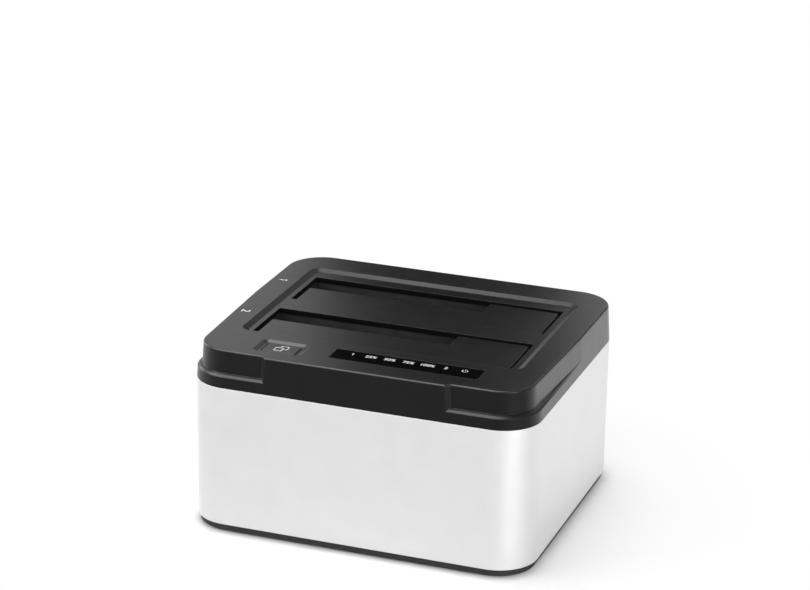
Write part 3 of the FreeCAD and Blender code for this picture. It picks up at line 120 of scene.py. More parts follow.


# Each finish's wear lightens its sharp edges, partly as rubbing and partly as a painted highlight.
FINISHES: tuple[Finish, ...] = (
    Finish("sleeve_aluminium", (0.65, 0.65, 0.65), 0.46, Pattern.BLASTED, 0.00022, 0.000004,
           metallic=0.55, spread=0.03, tone=0.015, wear_and_sheen=0.04),
    Finish("cover_plastic", (0.0050, 0.0051, 0.0054), 0.30, Pattern.RIPPLED, 0.0005, 0.0000022,
           spread=0.015, tone=0.08, wear_and_sheen=0.40, specular=0.62, tint=0.23),
    Finish("flap_plastic", (0.0045, 0.0046, 0.0049), 0.30, Pattern.MOULDED, 0.0008, 0.0000015,
           spread=0.015, tone=0.08, wear_and_sheen=0.15, specular=0.62, tint=0.23),
    Finish("base_plastic", (0.022, 0.022, 0.022), 0.60, Pattern.MOULDED, 0.0005, 0.000014,
           specular=0.25),
    Finish("frame_plastic", (0.014, 0.014, 0.015), 0.50, Pattern.MOULDED, 0.0005, 0.000012),
    Finish("foot_rubber", (0.018, 0.018, 0.018), 0.80, Pattern.MOULDED, 0.0003, 0.000020),
    Finish("rod_steel", (0.56, 0.57, 0.58), 0.28, Pattern.DRAWN, 0.0002, 0.000003, metallic=1.0),
    Finish("spring_steel", (0.48, 0.48, 0.50), 0.32, Pattern.DRAWN, 0.0001, 0.000002, metallic=1.0),
    Finish("socket_plastic", (0.012, 0.012, 0.013), 0.42, Pattern.MOULDED, 0.0003, 0.000008),
    Finish("contact_gold", (0.83, 0.58, 0.22), 0.25, Pattern.DRAWN, 0.0001, 0.000002, metallic=1.0),
    Finish("board_green", (0.012, 0.11, 0.045), 0.38, Pattern.BOARD, 0.0012, 0.000020, tone=0.35),
    Finish("chip_black", (0.020, 0.020, 0.021), 0.45, Pattern.MOULDED, 0.0003, 0.000008),
    Finish("can_aluminium", (0.68, 0.68, 0.70), 0.30, Pattern.DRAWN, 0.0003, 0.000003,
           metallic=1.0),
    Finish("coil_grey", (0.075, 0.075, 0.080), 0.60, Pattern.MOULDED, 0.0003, 0.000015),
    Finish("crystal_metal", (0.68, 0.68, 0.68), 0.26, Pattern.DRAWN, 0.0003, 0.000002,
           metallic=1.0),
    Finish("lamp_clear", (0.78, 0.80, 0.66), 0.18, Pattern.MOULDED, 0.0003, 0.000003),
    Finish("guide_clear", (0.86, 0.90, 0.92), 0.12, Pattern.MOULDED, 0.0006, 0.000003,
           transmission=0.8, spread=0.03),
    Finish("window_black", (0.0030, 0.0030, 0.0034), 0.07, Pattern.RIPPLED, 0.0040, 0.000002,
           spread=0.02, tone=0.10, wear_and_sheen=0.15, specular=0.28, tint=0.25),
    Finish("button_black", (0.0060, 0.0062, 0.0067), 0.26, Pattern.RIPPLED, 0.0005, 0.0000020,
           spread=0.015, wear_and_sheen=0.35, specular=0.40, tint=0.28),
    Finish("switch_black", (0.025, 0.025, 0.025), 0.50, Pattern.MOULDED, 0.0002, 0.000006),
    Finish("plunger_brown", (0.13, 0.055, 0.028), 0.45, Pattern.MOULDED, 0.0002, 0.000006),
    Finish("connector_cream", (0.66, 0.60, 0.46), 0.50, Pattern.MOULDED, 0.0003, 0.000008),
    Finish("ribbon_grey", (0.34, 0.34, 0.36), 0.55, Pattern.RIBBED, 0.0010, 0.000120),
    Finish("panel_plastic", (0.010, 0.010, 0.011), 0.48, Pattern.MOULDED, 0.0005, 0.000014,
           specular=0.4, tint=0.5),
    Finish("inlet_plastic", (0.010, 0.010, 0.010), 0.40, Pattern.MOULDED, 0.0003, 0.000008),
    Finish("pin_nickel", (0.66, 0.64, 0.58), 0.22, Pattern.DRAWN, 0.0001, 0.000002, metallic=1.0),
    Finish("usb_shell", (0.62, 0.62, 0.64), 0.27, Pattern.DRAWN, 0.0003, 0.000004, metallic=1.0),
    Finish("tongue_white", (0.78, 0.78, 0.75), 0.42, Pattern.MOULDED, 0.0003, 0.000006),
    Finish("housing_black", (0.013, 0.013, 0.013), 0.28, Pattern.RIPPLED, 0.0010, 0.000006),
    Finish("rocker_black", (0.016, 0.016, 0.016), 0.24, Pattern.RIPPLED, 0.0010, 0.000006),
    Finish("terminal_tin", (0.66, 0.66, 0.64), 0.34, Pattern.DRAWN, 0.0002, 0.000003, metallic=1.0),
    Finish("screw_zinc", (0.60, 0.62, 0.65), 0.30, Pattern.DRAWN, 0.0002, 0.000004, metallic=1.0),
    Finish("screw_black", (0.045, 0.045, 0.048), 0.36, Pattern.DRAWN, 0.0002, 0.000004,
           metallic=0.8),
)


class NodeTree:
    """A small helper that adds and links the shader nodes of one material or world."""

    def __init__(self, owner: bpy.types.Material | bpy.types.World) -> None:
        """Starts an empty tree.

        Args:
            owner: Material or world that the nodes belong to.
        """
        owner.use_nodes = True
        self.owner = owner
        self.nodes = owner.node_tree.nodes
        self.link = owner.node_tree.links.new
        self.nodes.clear()

    def add(self, kind: str, **settings: object) -> bpy.types.Node:
        """Adds a node.

        Args:
            kind: Node type.
            settings: Properties of the node to set.

        Returns:
            The new node.
        """
        node = self.nodes.new(kind)
        for key, value in settings.items():
            setattr(node, key, value)
        return node

    def show(self, shader: Socket, kind: str = "ShaderNodeOutputMaterial") -> None:
        """Sends a shader to the tree's output, which is a material's or, by its kind, a world's."""
        self.link(shader, self.add(kind).inputs["Surface"])

    def maths(self, operation: str, first: Socket, second: Socket) -> Socket:
        """Works one value out from two.

        Args:
            operation: What is done with them.
            first: First value.
            second: Second value.

        Returns:
            The result.
        """
        node = self.add("ShaderNodeMath", operation=operation)
        self.link(first, node.inputs[0])
        self.link(second, node.inputs[1])
        return node.outputs["Value"]

    def noise(self, place: Socket, size: float, detail: float = 3.0) -> Socket:
        """A noise of a real size.

        Args:
            place: Coordinates, in metres.
            size: Size of one blotch, in metres.
            detail: Octaves of finer detail.

        Returns:
            The noise's value, from 0 to 1.
        """
        node = self.add("ShaderNodeTexNoise")
        node.inputs["Scale"].default_value = 1.0 / size
        node.inputs["Detail"].default_value = detail
        self.link(place, node.inputs["Vector"])
        return node.outputs["Fac"]

    def span(self, value: Socket, low: float, high: float,
             start: float = 0.0, end: float = 1.0) -> Socket:
        """Maps a value to a range.

        Args:
            value: Socket with the value.
            low: Result at the start.
            high: Result at the end.
            start: Value that gives the low result.
            end: Value that gives the high result.

        Returns:
            The mapped value.
        """
        node = self.add("ShaderNodeMapRange")
        node.inputs["From Min"].default_value = start
        node.inputs["From Max"].default_value = end
        node.inputs["To Min"].default_value = low
        node.inputs["To Max"].default_value = high
        self.link(value, node.inputs["Value"])
        return node.outputs["Result"]

    def tones(self, value: Socket, dark: Colour, light: Colour,
              start: float = 0.0, end: float = 1.0) -> Socket:
        """Maps a value to the colours between two.

        Args:
            value: Socket with the value.
            dark: Colour at the start.
            light: Colour at the end.
            start: Value that gives the dark colour.
            end: Value that gives the light colour.

        Returns:
            The colour.
        """
        node = self.add("ShaderNodeValToRGB")
        first, last = node.color_ramp.elements
        first.position, last.position = start, end
        first.color, last.color = (*dark, 1), (*light, 1)
        self.link(value, node.inputs["Fac"])
        return node.outputs["Color"]

    def watched(self) -> Socket:
        """Tells what is seen, directly or by reflection or through glass, from what only lights.

        Returns:
            1 for rays from the camera and for reflected and refracted ones, 0 for the others.
        """
        path = self.add("ShaderNodeLightPath").outputs
        seen = self.maths("MAXIMUM", path["Is Camera Ray"], path["Is Glossy Ray"])
        return self.maths("MAXIMUM", seen, path["Is Transmission Ray"])


class FinishMaker:
    """Builds one procedural material for a finish."""

    # Octaves of the fine noise, by pattern.
    OCTAVES = {Pattern.MOULDED: 4.0, Pattern.RIPPLED: 1.0, Pattern.BLASTED: 6.0, Pattern.DRAWN: 4.0}
    # Factors on the coordinates that stretch drawn metal's grain along X.
    DRAW = (0.06, 1.0, 1.0)
    # Where a board's cells rise from their floor to their top.
    CELL_RIM = (0.30, 0.36)
    # Sizes in metres of the blotches in colour, in roughness and in the lighter edges, each with
    # its octaves.
    TONE_BLOTCH, GLOSS_BLOTCH, WEAR_BLOTCH = (0.012, 5.0), (0.006, 6.0), (0.003, 4.0)
    # The middle of a noise's values, which is spread over the full range.
    MIDDLE = (0.3, 0.7)
    # How well the rounded normal agrees with the plain one on an edge and away from it.
    AGREEMENT = (0.80, 0.99)
    # What the lighter edges, partly rubbing and partly a painted highlight, do to the colour: a
    # share of it is added, and some grey.
    WEAR_GAIN, WEAR_GREY = 2.0, 0.02
    # Rays that look for a sharp edge.
    BEVEL_RAYS = 4

    def __init__(self, finish: Finish) -> None:
        """Keeps the finish.

        Args:
            finish: The finish to build.
        """
        self.finish = finish
        self.tree = NodeTree(bpy.data.materials.new(finish.slot))
        self.rounded = self.tree.add("ShaderNodeBevel", samples=self.BEVEL_RAYS)
        self.rounded.inputs["Radius"].default_value = finish.edge

    def grain(self, place: Socket) -> Socket:
        """The fine height pattern.

        Args:
            place: Coordinates, in metres.

        Returns:
            Height from 0 to 1.
        """
        finish, tree = self.finish, self.tree
        if finish.pattern is Pattern.BOARD:
            cells = tree.add("ShaderNodeTexVoronoi", distance="CHEBYCHEV", feature="F1")
            cells.inputs["Scale"].default_value = 1.0 / finish.grain
            tree.link(place, cells.inputs["Vector"])
            return tree.span(cells.outputs["Distance"], 0.0, 1.0, *self.CELL_RIM)
        if finish.pattern is Pattern.RIBBED:
            wave = tree.add("ShaderNodeTexWave", wave_type="BANDS", bands_direction="X")
            # One band is about 1 / pi wide at scale 1.
            wave.inputs["Scale"].default_value = 1.0 / (math.pi * finish.grain)
            tree.link(place, wave.inputs["Vector"])
            return wave.outputs["Fac"]
        if finish.pattern is Pattern.DRAWN:
            drawn = tree.add("ShaderNodeMapping")
            drawn.inputs["Scale"].default_value = self.DRAW
            tree.link(place, drawn.inputs["Vector"])
            place = drawn.outputs["Vector"]
        return tree.noise(place, finish.grain, self.OCTAVES[finish.pattern])

    def colour(self, place: Socket) -> Socket:
        """Colour with blotches and lighter edges, which are partly rubbed and partly a painted
        highlight.

        Args:
            place: Coordinates, in metres.

        Returns:
            The colour.
        """
        finish, tree = self.finish, self.tree
        base = Vector(finish.colour)
        tones = tree.tones(tree.noise(place, *self.TONE_BLOTCH), base * (1 - finish.tone),
                           base * (1 + finish.tone), *self.MIDDLE)
        grey = Vector((self.WEAR_GREY,) * 3)
        lighter = base * (1 + self.WEAR_GAIN * finish.wear_and_sheen) + grey * finish.wear_and_sheen
        # Sharp edges are lighter, partly by rubbing and partly as a painted highlight along them.
        rub_and_sheen = tree.maths("MULTIPLY", self.edge_mask(), tree.noise(place, *self.WEAR_BLOTCH))
        worn_and_sheen = tree.add("ShaderNodeMix", data_type="RGBA", blend_type="MIX")
        worn_and_sheen.inputs["B"].default_value = (*lighter, 1)
        tree.link(tones, worn_and_sheen.inputs["A"])
        tree.link(rub_and_sheen, worn_and_sheen.inputs["Factor"])
        return worn_and_sheen.outputs["Result"]

    def edge_mask(self) -> Socket:
        """Marks the edges, where the rounded normal leaves the plain one.

        Returns:
            Value from 0 away from edges up to the finish's wear on them; the edges get lighter by
            rubbing and by a painted highlight.
        """
        tree = self.tree
        agree = tree.add("ShaderNodeVectorMath", operation="DOT_PRODUCT")
        tree.link(self.rounded.outputs["Normal"], agree.inputs[0])
        tree.link(tree.add("ShaderNodeNewGeometry").outputs["Normal"], agree.inputs[1])
        return tree.span(agree.outputs["Value"], self.finish.wear_and_sheen, 0.0, *self.AGREEMENT)

    def build(self) -> bpy.types.Material:
        """Builds the material.

        Returns:
            The new material.
        """
        finish, tree = self.finish, self.tree
        place = tree.add("ShaderNodeTexCoord").outputs["Object"]
        shader = tree.add("ShaderNodeBsdfPrincipled")
        shader.inputs["Metallic"].default_value = finish.metallic
        shader.inputs["Specular IOR Level"].default_value = finish.specular
        shader.inputs["Specular Tint"].default_value = (finish.tint, finish.tint, finish.tint, 1)
        shader.inputs["Transmission Weight"].default_value = finish.transmission
        tree.link(self.colour(place), shader.inputs["Base Color"])
        gloss = tree.span(tree.noise(place, *self.GLOSS_BLOTCH), finish.roughness - finish.spread,
                          finish.roughness + finish.spread, *self.MIDDLE)
        tree.link(gloss, shader.inputs["Roughness"])
        bump = tree.add("ShaderNodeBump")
        bump.inputs["Strength"].default_value = 1.0
        bump.inputs["Distance"].default_value = finish.height
        tree.link(self.rounded.outputs["Normal"], bump.inputs["Normal"])
        tree.link(self.grain(place), bump.inputs["Height"])
        tree.link(bump.outputs["Normal"], shader.inputs["Normal"])
        tree.show(shader.outputs["BSDF"])
        return tree.owner


def dress_nodes(materials: dict[str, bpy.types.Material]) -> None:
    """Gives every CAD node the finish that the record names for it.

    Args:
        materials: Finished materials by slot name.
    """
    for part in frame["record"]["subparts"]:
        node = frame["nodes"][part["node"]]
        for slot in node.material_slots:
            slot.material = materials[part["material_slot"]]
        LOG.info("finish %s on %s", part["material_slot"], part["node"])


def place_mesh(name: str, mesh: Mesh, material: bpy.types.Material) -> bpy.types.Object:
    """Puts a mesh into the scene as an object.

    Args:
        name: Name of the object.
        mesh: Its mesh, in the row frame, which is freed.
        material: Its material.

    Returns:
        The new object.
    """
    data = bpy.data.meshes.new(name)
    mesh.to_mesh(data)
    mesh.free()
    data.materials.append(material)
    placed = bpy.data.objects.new(name, data)
    bpy.context.scene.collection.objects.link(placed)
    return placed


@dataclass
class Workshop:
    """Turns bmesh work into dressed pieces of the scene.

    Args:
        materials: Finished materials by slot name.
        smooth_below: Angle below which edges are shaded smooth, in radians.
    """

    materials: dict[str, bpy.types.Material]
    smooth_below: float = 0.6

    def piece(self, name: str, mesh: Mesh, slot: str, body: str, replaced: tuple[str, ...] = (),
              wound: tuple[str, Vector, Vector] | None = None) -> None:
        """Makes one piece of the scene and puts it on its body, unless it is wound: then it stays
        fixed where it is made, on no body.

        Args:
            name: Name of the piece.
            mesh: Its mesh, in the row frame, which is freed.
            slot: Material slot of the record.
            body: Body that it rides on.
            replaced: CAD nodes that it stands for.
            wound: Second body, the point where the first body's hold ends and the point where the
                second one's begins. Only whether it is given is read: a wound piece stays fixed,
                and its other end follows nothing.
        """
        bmesh.ops.recalc_face_normals(mesh, faces=mesh.faces)
        for face in mesh.faces:
            face.smooth = True
        for edge in mesh.edges:
            edge.smooth = edge.calc_face_angle(0.0) < self.smooth_below
        piece = place_mesh(name, mesh, self.materials[slot])
        if replaced:
            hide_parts(*replaced)
        if wound:
            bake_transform(piece)
        else:
            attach(piece, body)
        LOG.info("piece %s on %s", name, body)


class Form:
    """Mesh forms that the pieces are made from."""

    # How much printed type is thickened, as a share of its size, and the steps in its curves.
    BOLD, TYPE_STEPS = 0.014, 4
    # The figure 1 as a line and its width, for type of size 1.
    ONE_LINE, ONE_WIDTH = ((-0.15, 0.18), (0.04, 0.32), (0.04, -0.36)), 0.10
    # Keeps the corner of a line from running out where the line turns back sharply.
    MITRE = 0.2

    @staticmethod
    def turns(sides: int) -> list[float]:
        """Angles of even steps round a circle, in radians."""
        return [math.tau * step / sides for step in range(sides)]

    @staticmethod
    def skin(mesh: Mesh, rings: list[list[Point]], closed: bool = False) -> None:
        """Skins a row of rings that have the same number of points.

        Args:
            mesh: Mesh to add to.
            rings: Rings of points, in metres.
            closed: Whether the last ring joins the first. If not, both ends get a face.
        """
        made = [[mesh.verts.new(point) for point in ring] for ring in rings]
        pairs = list(zip(made, made[1:]))
        if closed:
            pairs.append((made[-1], made[0]))
        for ring, following in pairs:
            count = len(ring)
            for index in range(count):
                after = (index + 1) % count
                mesh.faces.new((ring[index], ring[after], following[after], following[index]))
        if not closed:
            mesh.faces.new(made[0])
            mesh.faces.new(made[-1])

    @staticmethod
    def tube(mesh: Mesh, path: list[Vector], radius: float, sides: int) -> None:
        """A round tube along a path, with a steady frame and no twist.

        Args:
            mesh: Mesh to add to.
            path: Points of the centre line.
            radius: Radius of the tube.
            sides: Sides of its section.
        """
        rings = []
        side = None
        for index, spot in enumerate(path):
            before, after = path[max(index - 1, 0)], path[min(index + 1, len(path) - 1)]
            along = (after - before).normalized()
            if side is None:
                side = along.orthogonal().normalized()
            side = (side - along * side.dot(along)).normalized()
            other = along.cross(side)
            rings.append([spot + (side * math.cos(turn) + other * math.sin(turn)) * radius
                          for turn in Form.turns(sides)])
        Form.skin(mesh, rings)

    @staticmethod
    def lathe(mesh: Mesh, profile: list[Spot], centre: Point, sides: int) -> None:
        """A turned form about an upright axis.

        Args:
            mesh: Mesh to add to.
            profile: Pairs of radius and height, from one end of the axis to the other.
            centre: Foot of the axis.
            sides: Sides of each ring.
        """
        Form.skin(mesh, [[(centre[0] + radius * math.cos(turn), centre[1] + radius * math.sin(turn),
                           centre[2] + height) for turn in Form.turns(sides)]
                         for radius, height in profile])

    @staticmethod
    def sign(mesh: Mesh, text: str, size: float, place: Matrix) -> None:
        """Printed figures as a thin raised layer.

        Args:
            mesh: Mesh to add to.
            text: Figures to print.
            size: Size of the type.
            place: Where its middle goes, with up along the local Y.
        """
        curve = bpy.data.curves.new("sign", "FONT")
        curve.body = text
        curve.size = size
        curve.extrude = INK / 2
        curve.offset = Form.BOLD * size
        curve.resolution_u = Form.TYPE_STEPS
        curve.align_x = curve.align_y = "CENTER"
        holder = bpy.data.objects.new("sign", curve)
        bpy.context.scene.collection.objects.link(holder)
        flat = bpy.data.meshes.new_from_object(holder)
        flat.transform(place @ Matrix.Translation((0, 0, INK / 2)))
        mesh.from_mesh(flat)
        bpy.data.objects.remove(holder)
        bpy.data.curves.remove(curve)
        bpy.data.meshes.remove(flat)

    @staticmethod
    def stroke(mesh: Mesh, path: list[Spot], width: float, place: Matrix,
               closed: bool = False, height: float = INK) -> None:
        """A printed line of even width.

        Args:
            mesh: Mesh to add to.
            path: Points of its middle line.
            width: Width of the line.
            place: Where it goes.
            closed: Whether it runs back into its start.
            height: How far it stands out.
        """
        count = len(path)
        rings = []
        for index in range(count):
            here = Vector(path[index])
            before = Vector(path[index - 1]) if closed or index else here
            after = Vector(path[(index + 1) % count]) if closed or index < count - 1 else here
            first = (here - before).normalized() if here != before else (after - here).normalized()
            second = (after - here).normalized() if here != after else first
            across = Vector((-first.y, first.x)) + Vector((-second.y, second.x))
            across = across * (width / 2 / max(1 + first.dot(second), Form.MITRE))
            rings.append([place @ Vector((*(here + across * side), level))
                          for side, level in ((1, 0.0), (-1, 0.0), (-1, height), (1, height))])
        Form.skin(mesh, rings, closed)

    @staticmethod
    def one(mesh: Mesh, size: float, place: Matrix) -> None:
        """The figure 1 with its flag, which the plain type lacks, placed as a sign is."""
        line = [(across * size, up * size) for across, up in Form.ONE_LINE]
        Form.stroke(mesh, line, Form.ONE_WIDTH * size, place)


@dataclass
class StatusWindow:
    """White marks printed on the status window: bay figures, shares and the power mark.

    Args:
        first: Place of the first mark along X.
        pitch: Step between the marks.
        row: Place of the row along Y.
        size: Size of the type.
        narrow: Width of the type, as a share of its own.
        radius: Radius of the power mark, as a share of the type's size.
        opening: Gap at the top of the power mark, in degrees.
        stem: Ends of the power mark's upright line, as shares of the type's size.
        steps: Points along the power mark's ring.
        line: Width of the power mark's line.
    """

    first: float = -0.0071
    pitch: float = 0.00758
    row: float = -0.0426
    size: float = 0.0030
    narrow: float = 0.92
    radius: float = 0.36
    opening: float = 84.0
    stem: Spot = (0.1, 0.48)
    steps: int = 20
    line: float = 0.00028

    # What stands between the first mark, the figure 1, and the power mark.
    LABELS = ("25%", "50%", "75%", "100%", "2")

    def place(self, index: int) -> Matrix:
        """Where a mark goes on the window, by its number in the row, from 0."""
        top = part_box("status_window")[1][2]
        return Matrix.Translation((self.first + index * self.pitch, self.row, top))

    def build(self, shop: Workshop) -> None:
        """Makes the marks.

        Args:
            shop: Workshop that dresses them.
        """
        mesh = bmesh.new()
        Form.one(mesh, self.size, self.place(0))
        thin = Matrix.Diagonal((self.narrow, 1, 1, 1))
        for index, text in enumerate(self.LABELS, start=1):
            Form.sign(mesh, text, self.size, self.place(index) @ thin)
        radius = self.radius * self.size
        turns = [math.radians(90 + self.opening / 2 + step * (360 - self.opening) / self.steps)
                 for step in range(self.steps + 1)]
        ring = [(radius * math.cos(turn), radius * math.sin(turn)) for turn in turns]
        upright = [(0, end * self.size) for end in self.stem]
        for path in (ring, upright):
            Form.stroke(mesh, path, self.line, self.place(len(self.LABELS) + 1))
        shop.piece("window_marks", mesh, "tongue_white", "station")


@dataclass
class ButtonIcon:
    """The sign on the clone button: two sheets, one over the other.

    Args:
        side: Width of a sheet.
        apart: Step from one sheet to the other, as a share of their width.
        line: Width of the printed line.
    """

    side: float = 0.0030
    apart: float = 0.6
    line: float = 0.00036

    def build(self, shop: Workshop) -> None:
        """Makes the sign.

        Args:
            shop: Workshop that dresses it.
        """
        low, high = (Vector(corner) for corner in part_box("clone_button"))
        middle = (low + high) / 2
        mesh = bmesh.new()
        place = Matrix.Translation((middle.x, middle.y, high.z))
        half, shift = self.side / 2, self.apart / 2 * self.side
        near, far = half - shift, half + shift
        front = [(-far, -far), (near, -far), (near, near), (-far, near)]
        Form.stroke(mesh, front, self.line, place, closed=True)
        rear = [(-near, near + self.line), (-near, far), (far, far), (far, -near),
                (near + self.line, -near)]
        Form.stroke(mesh, rear, self.line, place)
        shop.piece("button_sign", mesh, "tongue_white", "clone_button")


@dataclass
class BayFigures:
    """A printed figure on the cover to the left of each bay, turned to read from the side.

    Args:
        across: Place along X.
        back: How far a figure stands behind the middle of its flap.
        size: Size of the type.
    """

    across: float = -0.0638
    back: float = 0.004
    size: float = 0.0050

    def build(self, shop: Workshop) -> None:
        """Makes the figures.

        Args:
            shop: Workshop that dresses them.
        """
        mesh = bmesh.new()
        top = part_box("top_cover")[1][2]
        turn = Matrix.Rotation(math.radians(-90), 4, "Z")
        front, rear = (
            Matrix.Translation((self.across, (low[1] + high[1]) / 2 + self.back, top)) @ turn
            for low, high in (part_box("front_flap"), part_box("rear_flap")))
        Form.sign(mesh, "2", self.size, front)
        Form.one(mesh, self.size, rear)
        shop.piece("bay_figures", mesh, "tongue_white", "station")


@dataclass
class FlapSpring:
    """The wound spring of one flap, in round wire.

    Args:
        side: Which flap it closes, "front" or "rear".
        start: Place of the first turn along X.
        turns: Number of turns.
        radius: Mean radius of the turns.
        wire: Radius of the wire.
        pitch: Step of a turn along X.
        leg: Length of the leg under the flap. The one under the cover has half of it.
        steps: Points in a turn.
        sides: Sides of the wire's section.
    """

    side: str
    start: float = -0.0373
    turns: int = 3
    radius: float = 0.0011
    wire: float = 0.00024
    pitch: float = 0.00095
    leg: float = 0.0070
    steps: int = 28
    sides: int = 12

    def path(self) -> list[Vector]:
        """The wire's middle line.

        Returns:
            Its points, from the long leg's tip to the short leg's tip, with two for each leg.
        """
        low, high = (Vector(corner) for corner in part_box(f"{self.side}_hinge_rod"))
        axis = (low + high) / 2
        coil = []
        for step in range(self.turns * self.steps + 1):
            angle = math.tau * step / self.steps
            coil.append(Vector((self.start + self.pitch * step / self.steps,
                                axis.y - self.radius * math.sin(angle),
                                axis.z + self.radius * math.cos(angle))))
        heading = Vector((self.pitch, -math.tau * self.radius, 0)).normalized()
        first, last = coil[0], coil[-1]
        return [first - heading * self.leg, first - heading * self.leg / 2, *coil,
                last + heading * self.leg / 4, last + heading * self.leg / 2]

    def build(self, shop: Workshop) -> None:
        """Makes the spring, which stays fixed where it is made and does not wind as its flap turns.

        Args:
            shop: Workshop that dresses it.
        """
        mesh = bmesh.new()
        path = self.path()
        Form.tube(mesh, path, self.wire, self.sides)
        shop.piece(f"{self.side}_spring_wire", mesh, "spring_steel", "station",
                   (f"{self.side}_flap_spring",), wound=(f"{self.side}_flap", path[-3], path[2]))


@dataclass
class RibbonCable:
    """The flat cable between the boards, with a ridge for each wire.

    Args:
        wires: Number of wires.
        thickness: Thickness over the ridges.
        valley: Thickness between the ridges.
        steps: Rings along the cable.
        fineness: Points across a wire.
    """

    wires: int = 8
    thickness: float = 0.00030
    valley: float = 0.00012
    steps: int = 24
    fineness: int = 6

    def build(self, shop: Workshop) -> None:
        """Makes the cable.

        Args:
            shop: Workshop that dresses it.
        """
        low, high = (Vector(corner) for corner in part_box("ribbon_cable"))
        span = high.z - low.z
        bow = high.y - low.y - self.thickness
        bend = (span ** 2 / 4 + bow ** 2) / (2 * bow)
        reach = math.asin(span / 2 / bend)
        pitch = (high.x - low.x) / self.wires
        across = []
        for step in range(self.wires * self.fineness + 1):
            ridge = abs(math.sin(math.pi * step / self.fineness))
            half = (self.valley + (self.thickness - self.valley) * ridge) / 2
            across.append((low.x + pitch * step / self.fineness, half))
        section = across + [(place, -half) for place, half in reversed(across)]
        centre = Vector((0, low.y + self.thickness / 2 + bend, (low.z + high.z) / 2))
        rings = []
        for step in range(self.steps + 1):
            angle = reach * (2 * step / self.steps - 1)
            outward = Vector((0, -math.cos(angle), math.sin(angle)))
            rings.append([Vector((place, 0, 0)) + centre + outward * (bend + half)
                          for place, half in section])
        mesh = bmesh.new()
        Form.skin(mesh, rings)
        shop.piece("ribbon_wires", mesh, "ribbon_grey", "station", ("ribbon_cable",))


@dataclass
class Feet:
    """Moulded rubber feet with a rounded edge and a hollow middle.

    Args:
        edge: Rounding of the lower edge.
        hollow: Depth of the hollow.
        groove: Depth of the ring groove.
        bevel: Size of the upper edge's bevel.
        bore: Radius of the ring that closes the hollow's middle.
        steps: Steps of the rounding.
        sides: Sides of a foot.
    """

    edge: float = 0.0005
    hollow: float = 0.0005
    groove: float = 0.0003
    bevel: float = 0.0001
    bore: float = 0.0002
    steps: int = 5
    sides: int = 56

    # The underside from the middle outwards: share of the radius, of the hollow's depth and of
    # the groove's depth.
    UNDERSIDE = ((0.42, 1.0, 0.0), (0.46, 0.8, 0.0), (0.50, 0.0, 0.0), (0.66, 0.0, 0.0),
                 (0.68, 0.0, 1.0), (0.74, 0.0, 1.0), (0.76, 0.0, 0.0))

    def profile(self, radius: float, height: float) -> list[Spot]:
        """The outline that is turned into a foot.

        Args:
            radius: Radius of the foot.
            height: Height of the foot.

        Returns:
            Pairs of radius and height.
        """
        under = [(share * radius, deep * self.hollow + cut * self.groove)
                 for share, deep, cut in self.UNDERSIDE]
        arc = [(radius - self.edge + self.edge * math.sin(turn),
                self.edge - self.edge * math.cos(turn))
               for turn in (math.pi / 2 * step / self.steps for step in range(self.steps + 1))]
        top = [(radius, height - self.bevel), (radius - self.bevel, height)]
        return [(self.bore, self.hollow), *under, *arc, *top]

    def build(self, shop: Workshop) -> None:
        """Makes the four feet.

        Args:
            shop: Workshop that dresses them.
        """
        for node in ("foot_front_left", "foot_front_right", "foot_rear_left", "foot_rear_right"):
            low, high = (Vector(corner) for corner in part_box(node))
            middle = (low + high) / 2
            mesh = bmesh.new()
            Form.lathe(mesh, self.profile((high.x - low.x) / 2, high.z - low.z),
                       (middle.x, middle.y, low.z), self.sides)
            shop.piece(f"{node}_rubber", mesh, "foot_rubber", "station", (node,))


@dataclass(frozen=True)
class Chip:
    """A chip's footprint and the sides that have leads.

    Args:
        across: Middle along X.
        deep: Middle along Y.
        wide: Size along X.
        long: Size along Y.
        sides: Quarter turns of the sides with leads.
    """

    across: float
    deep: float
    wide: float
    long: float
    sides: tuple[int, ...]


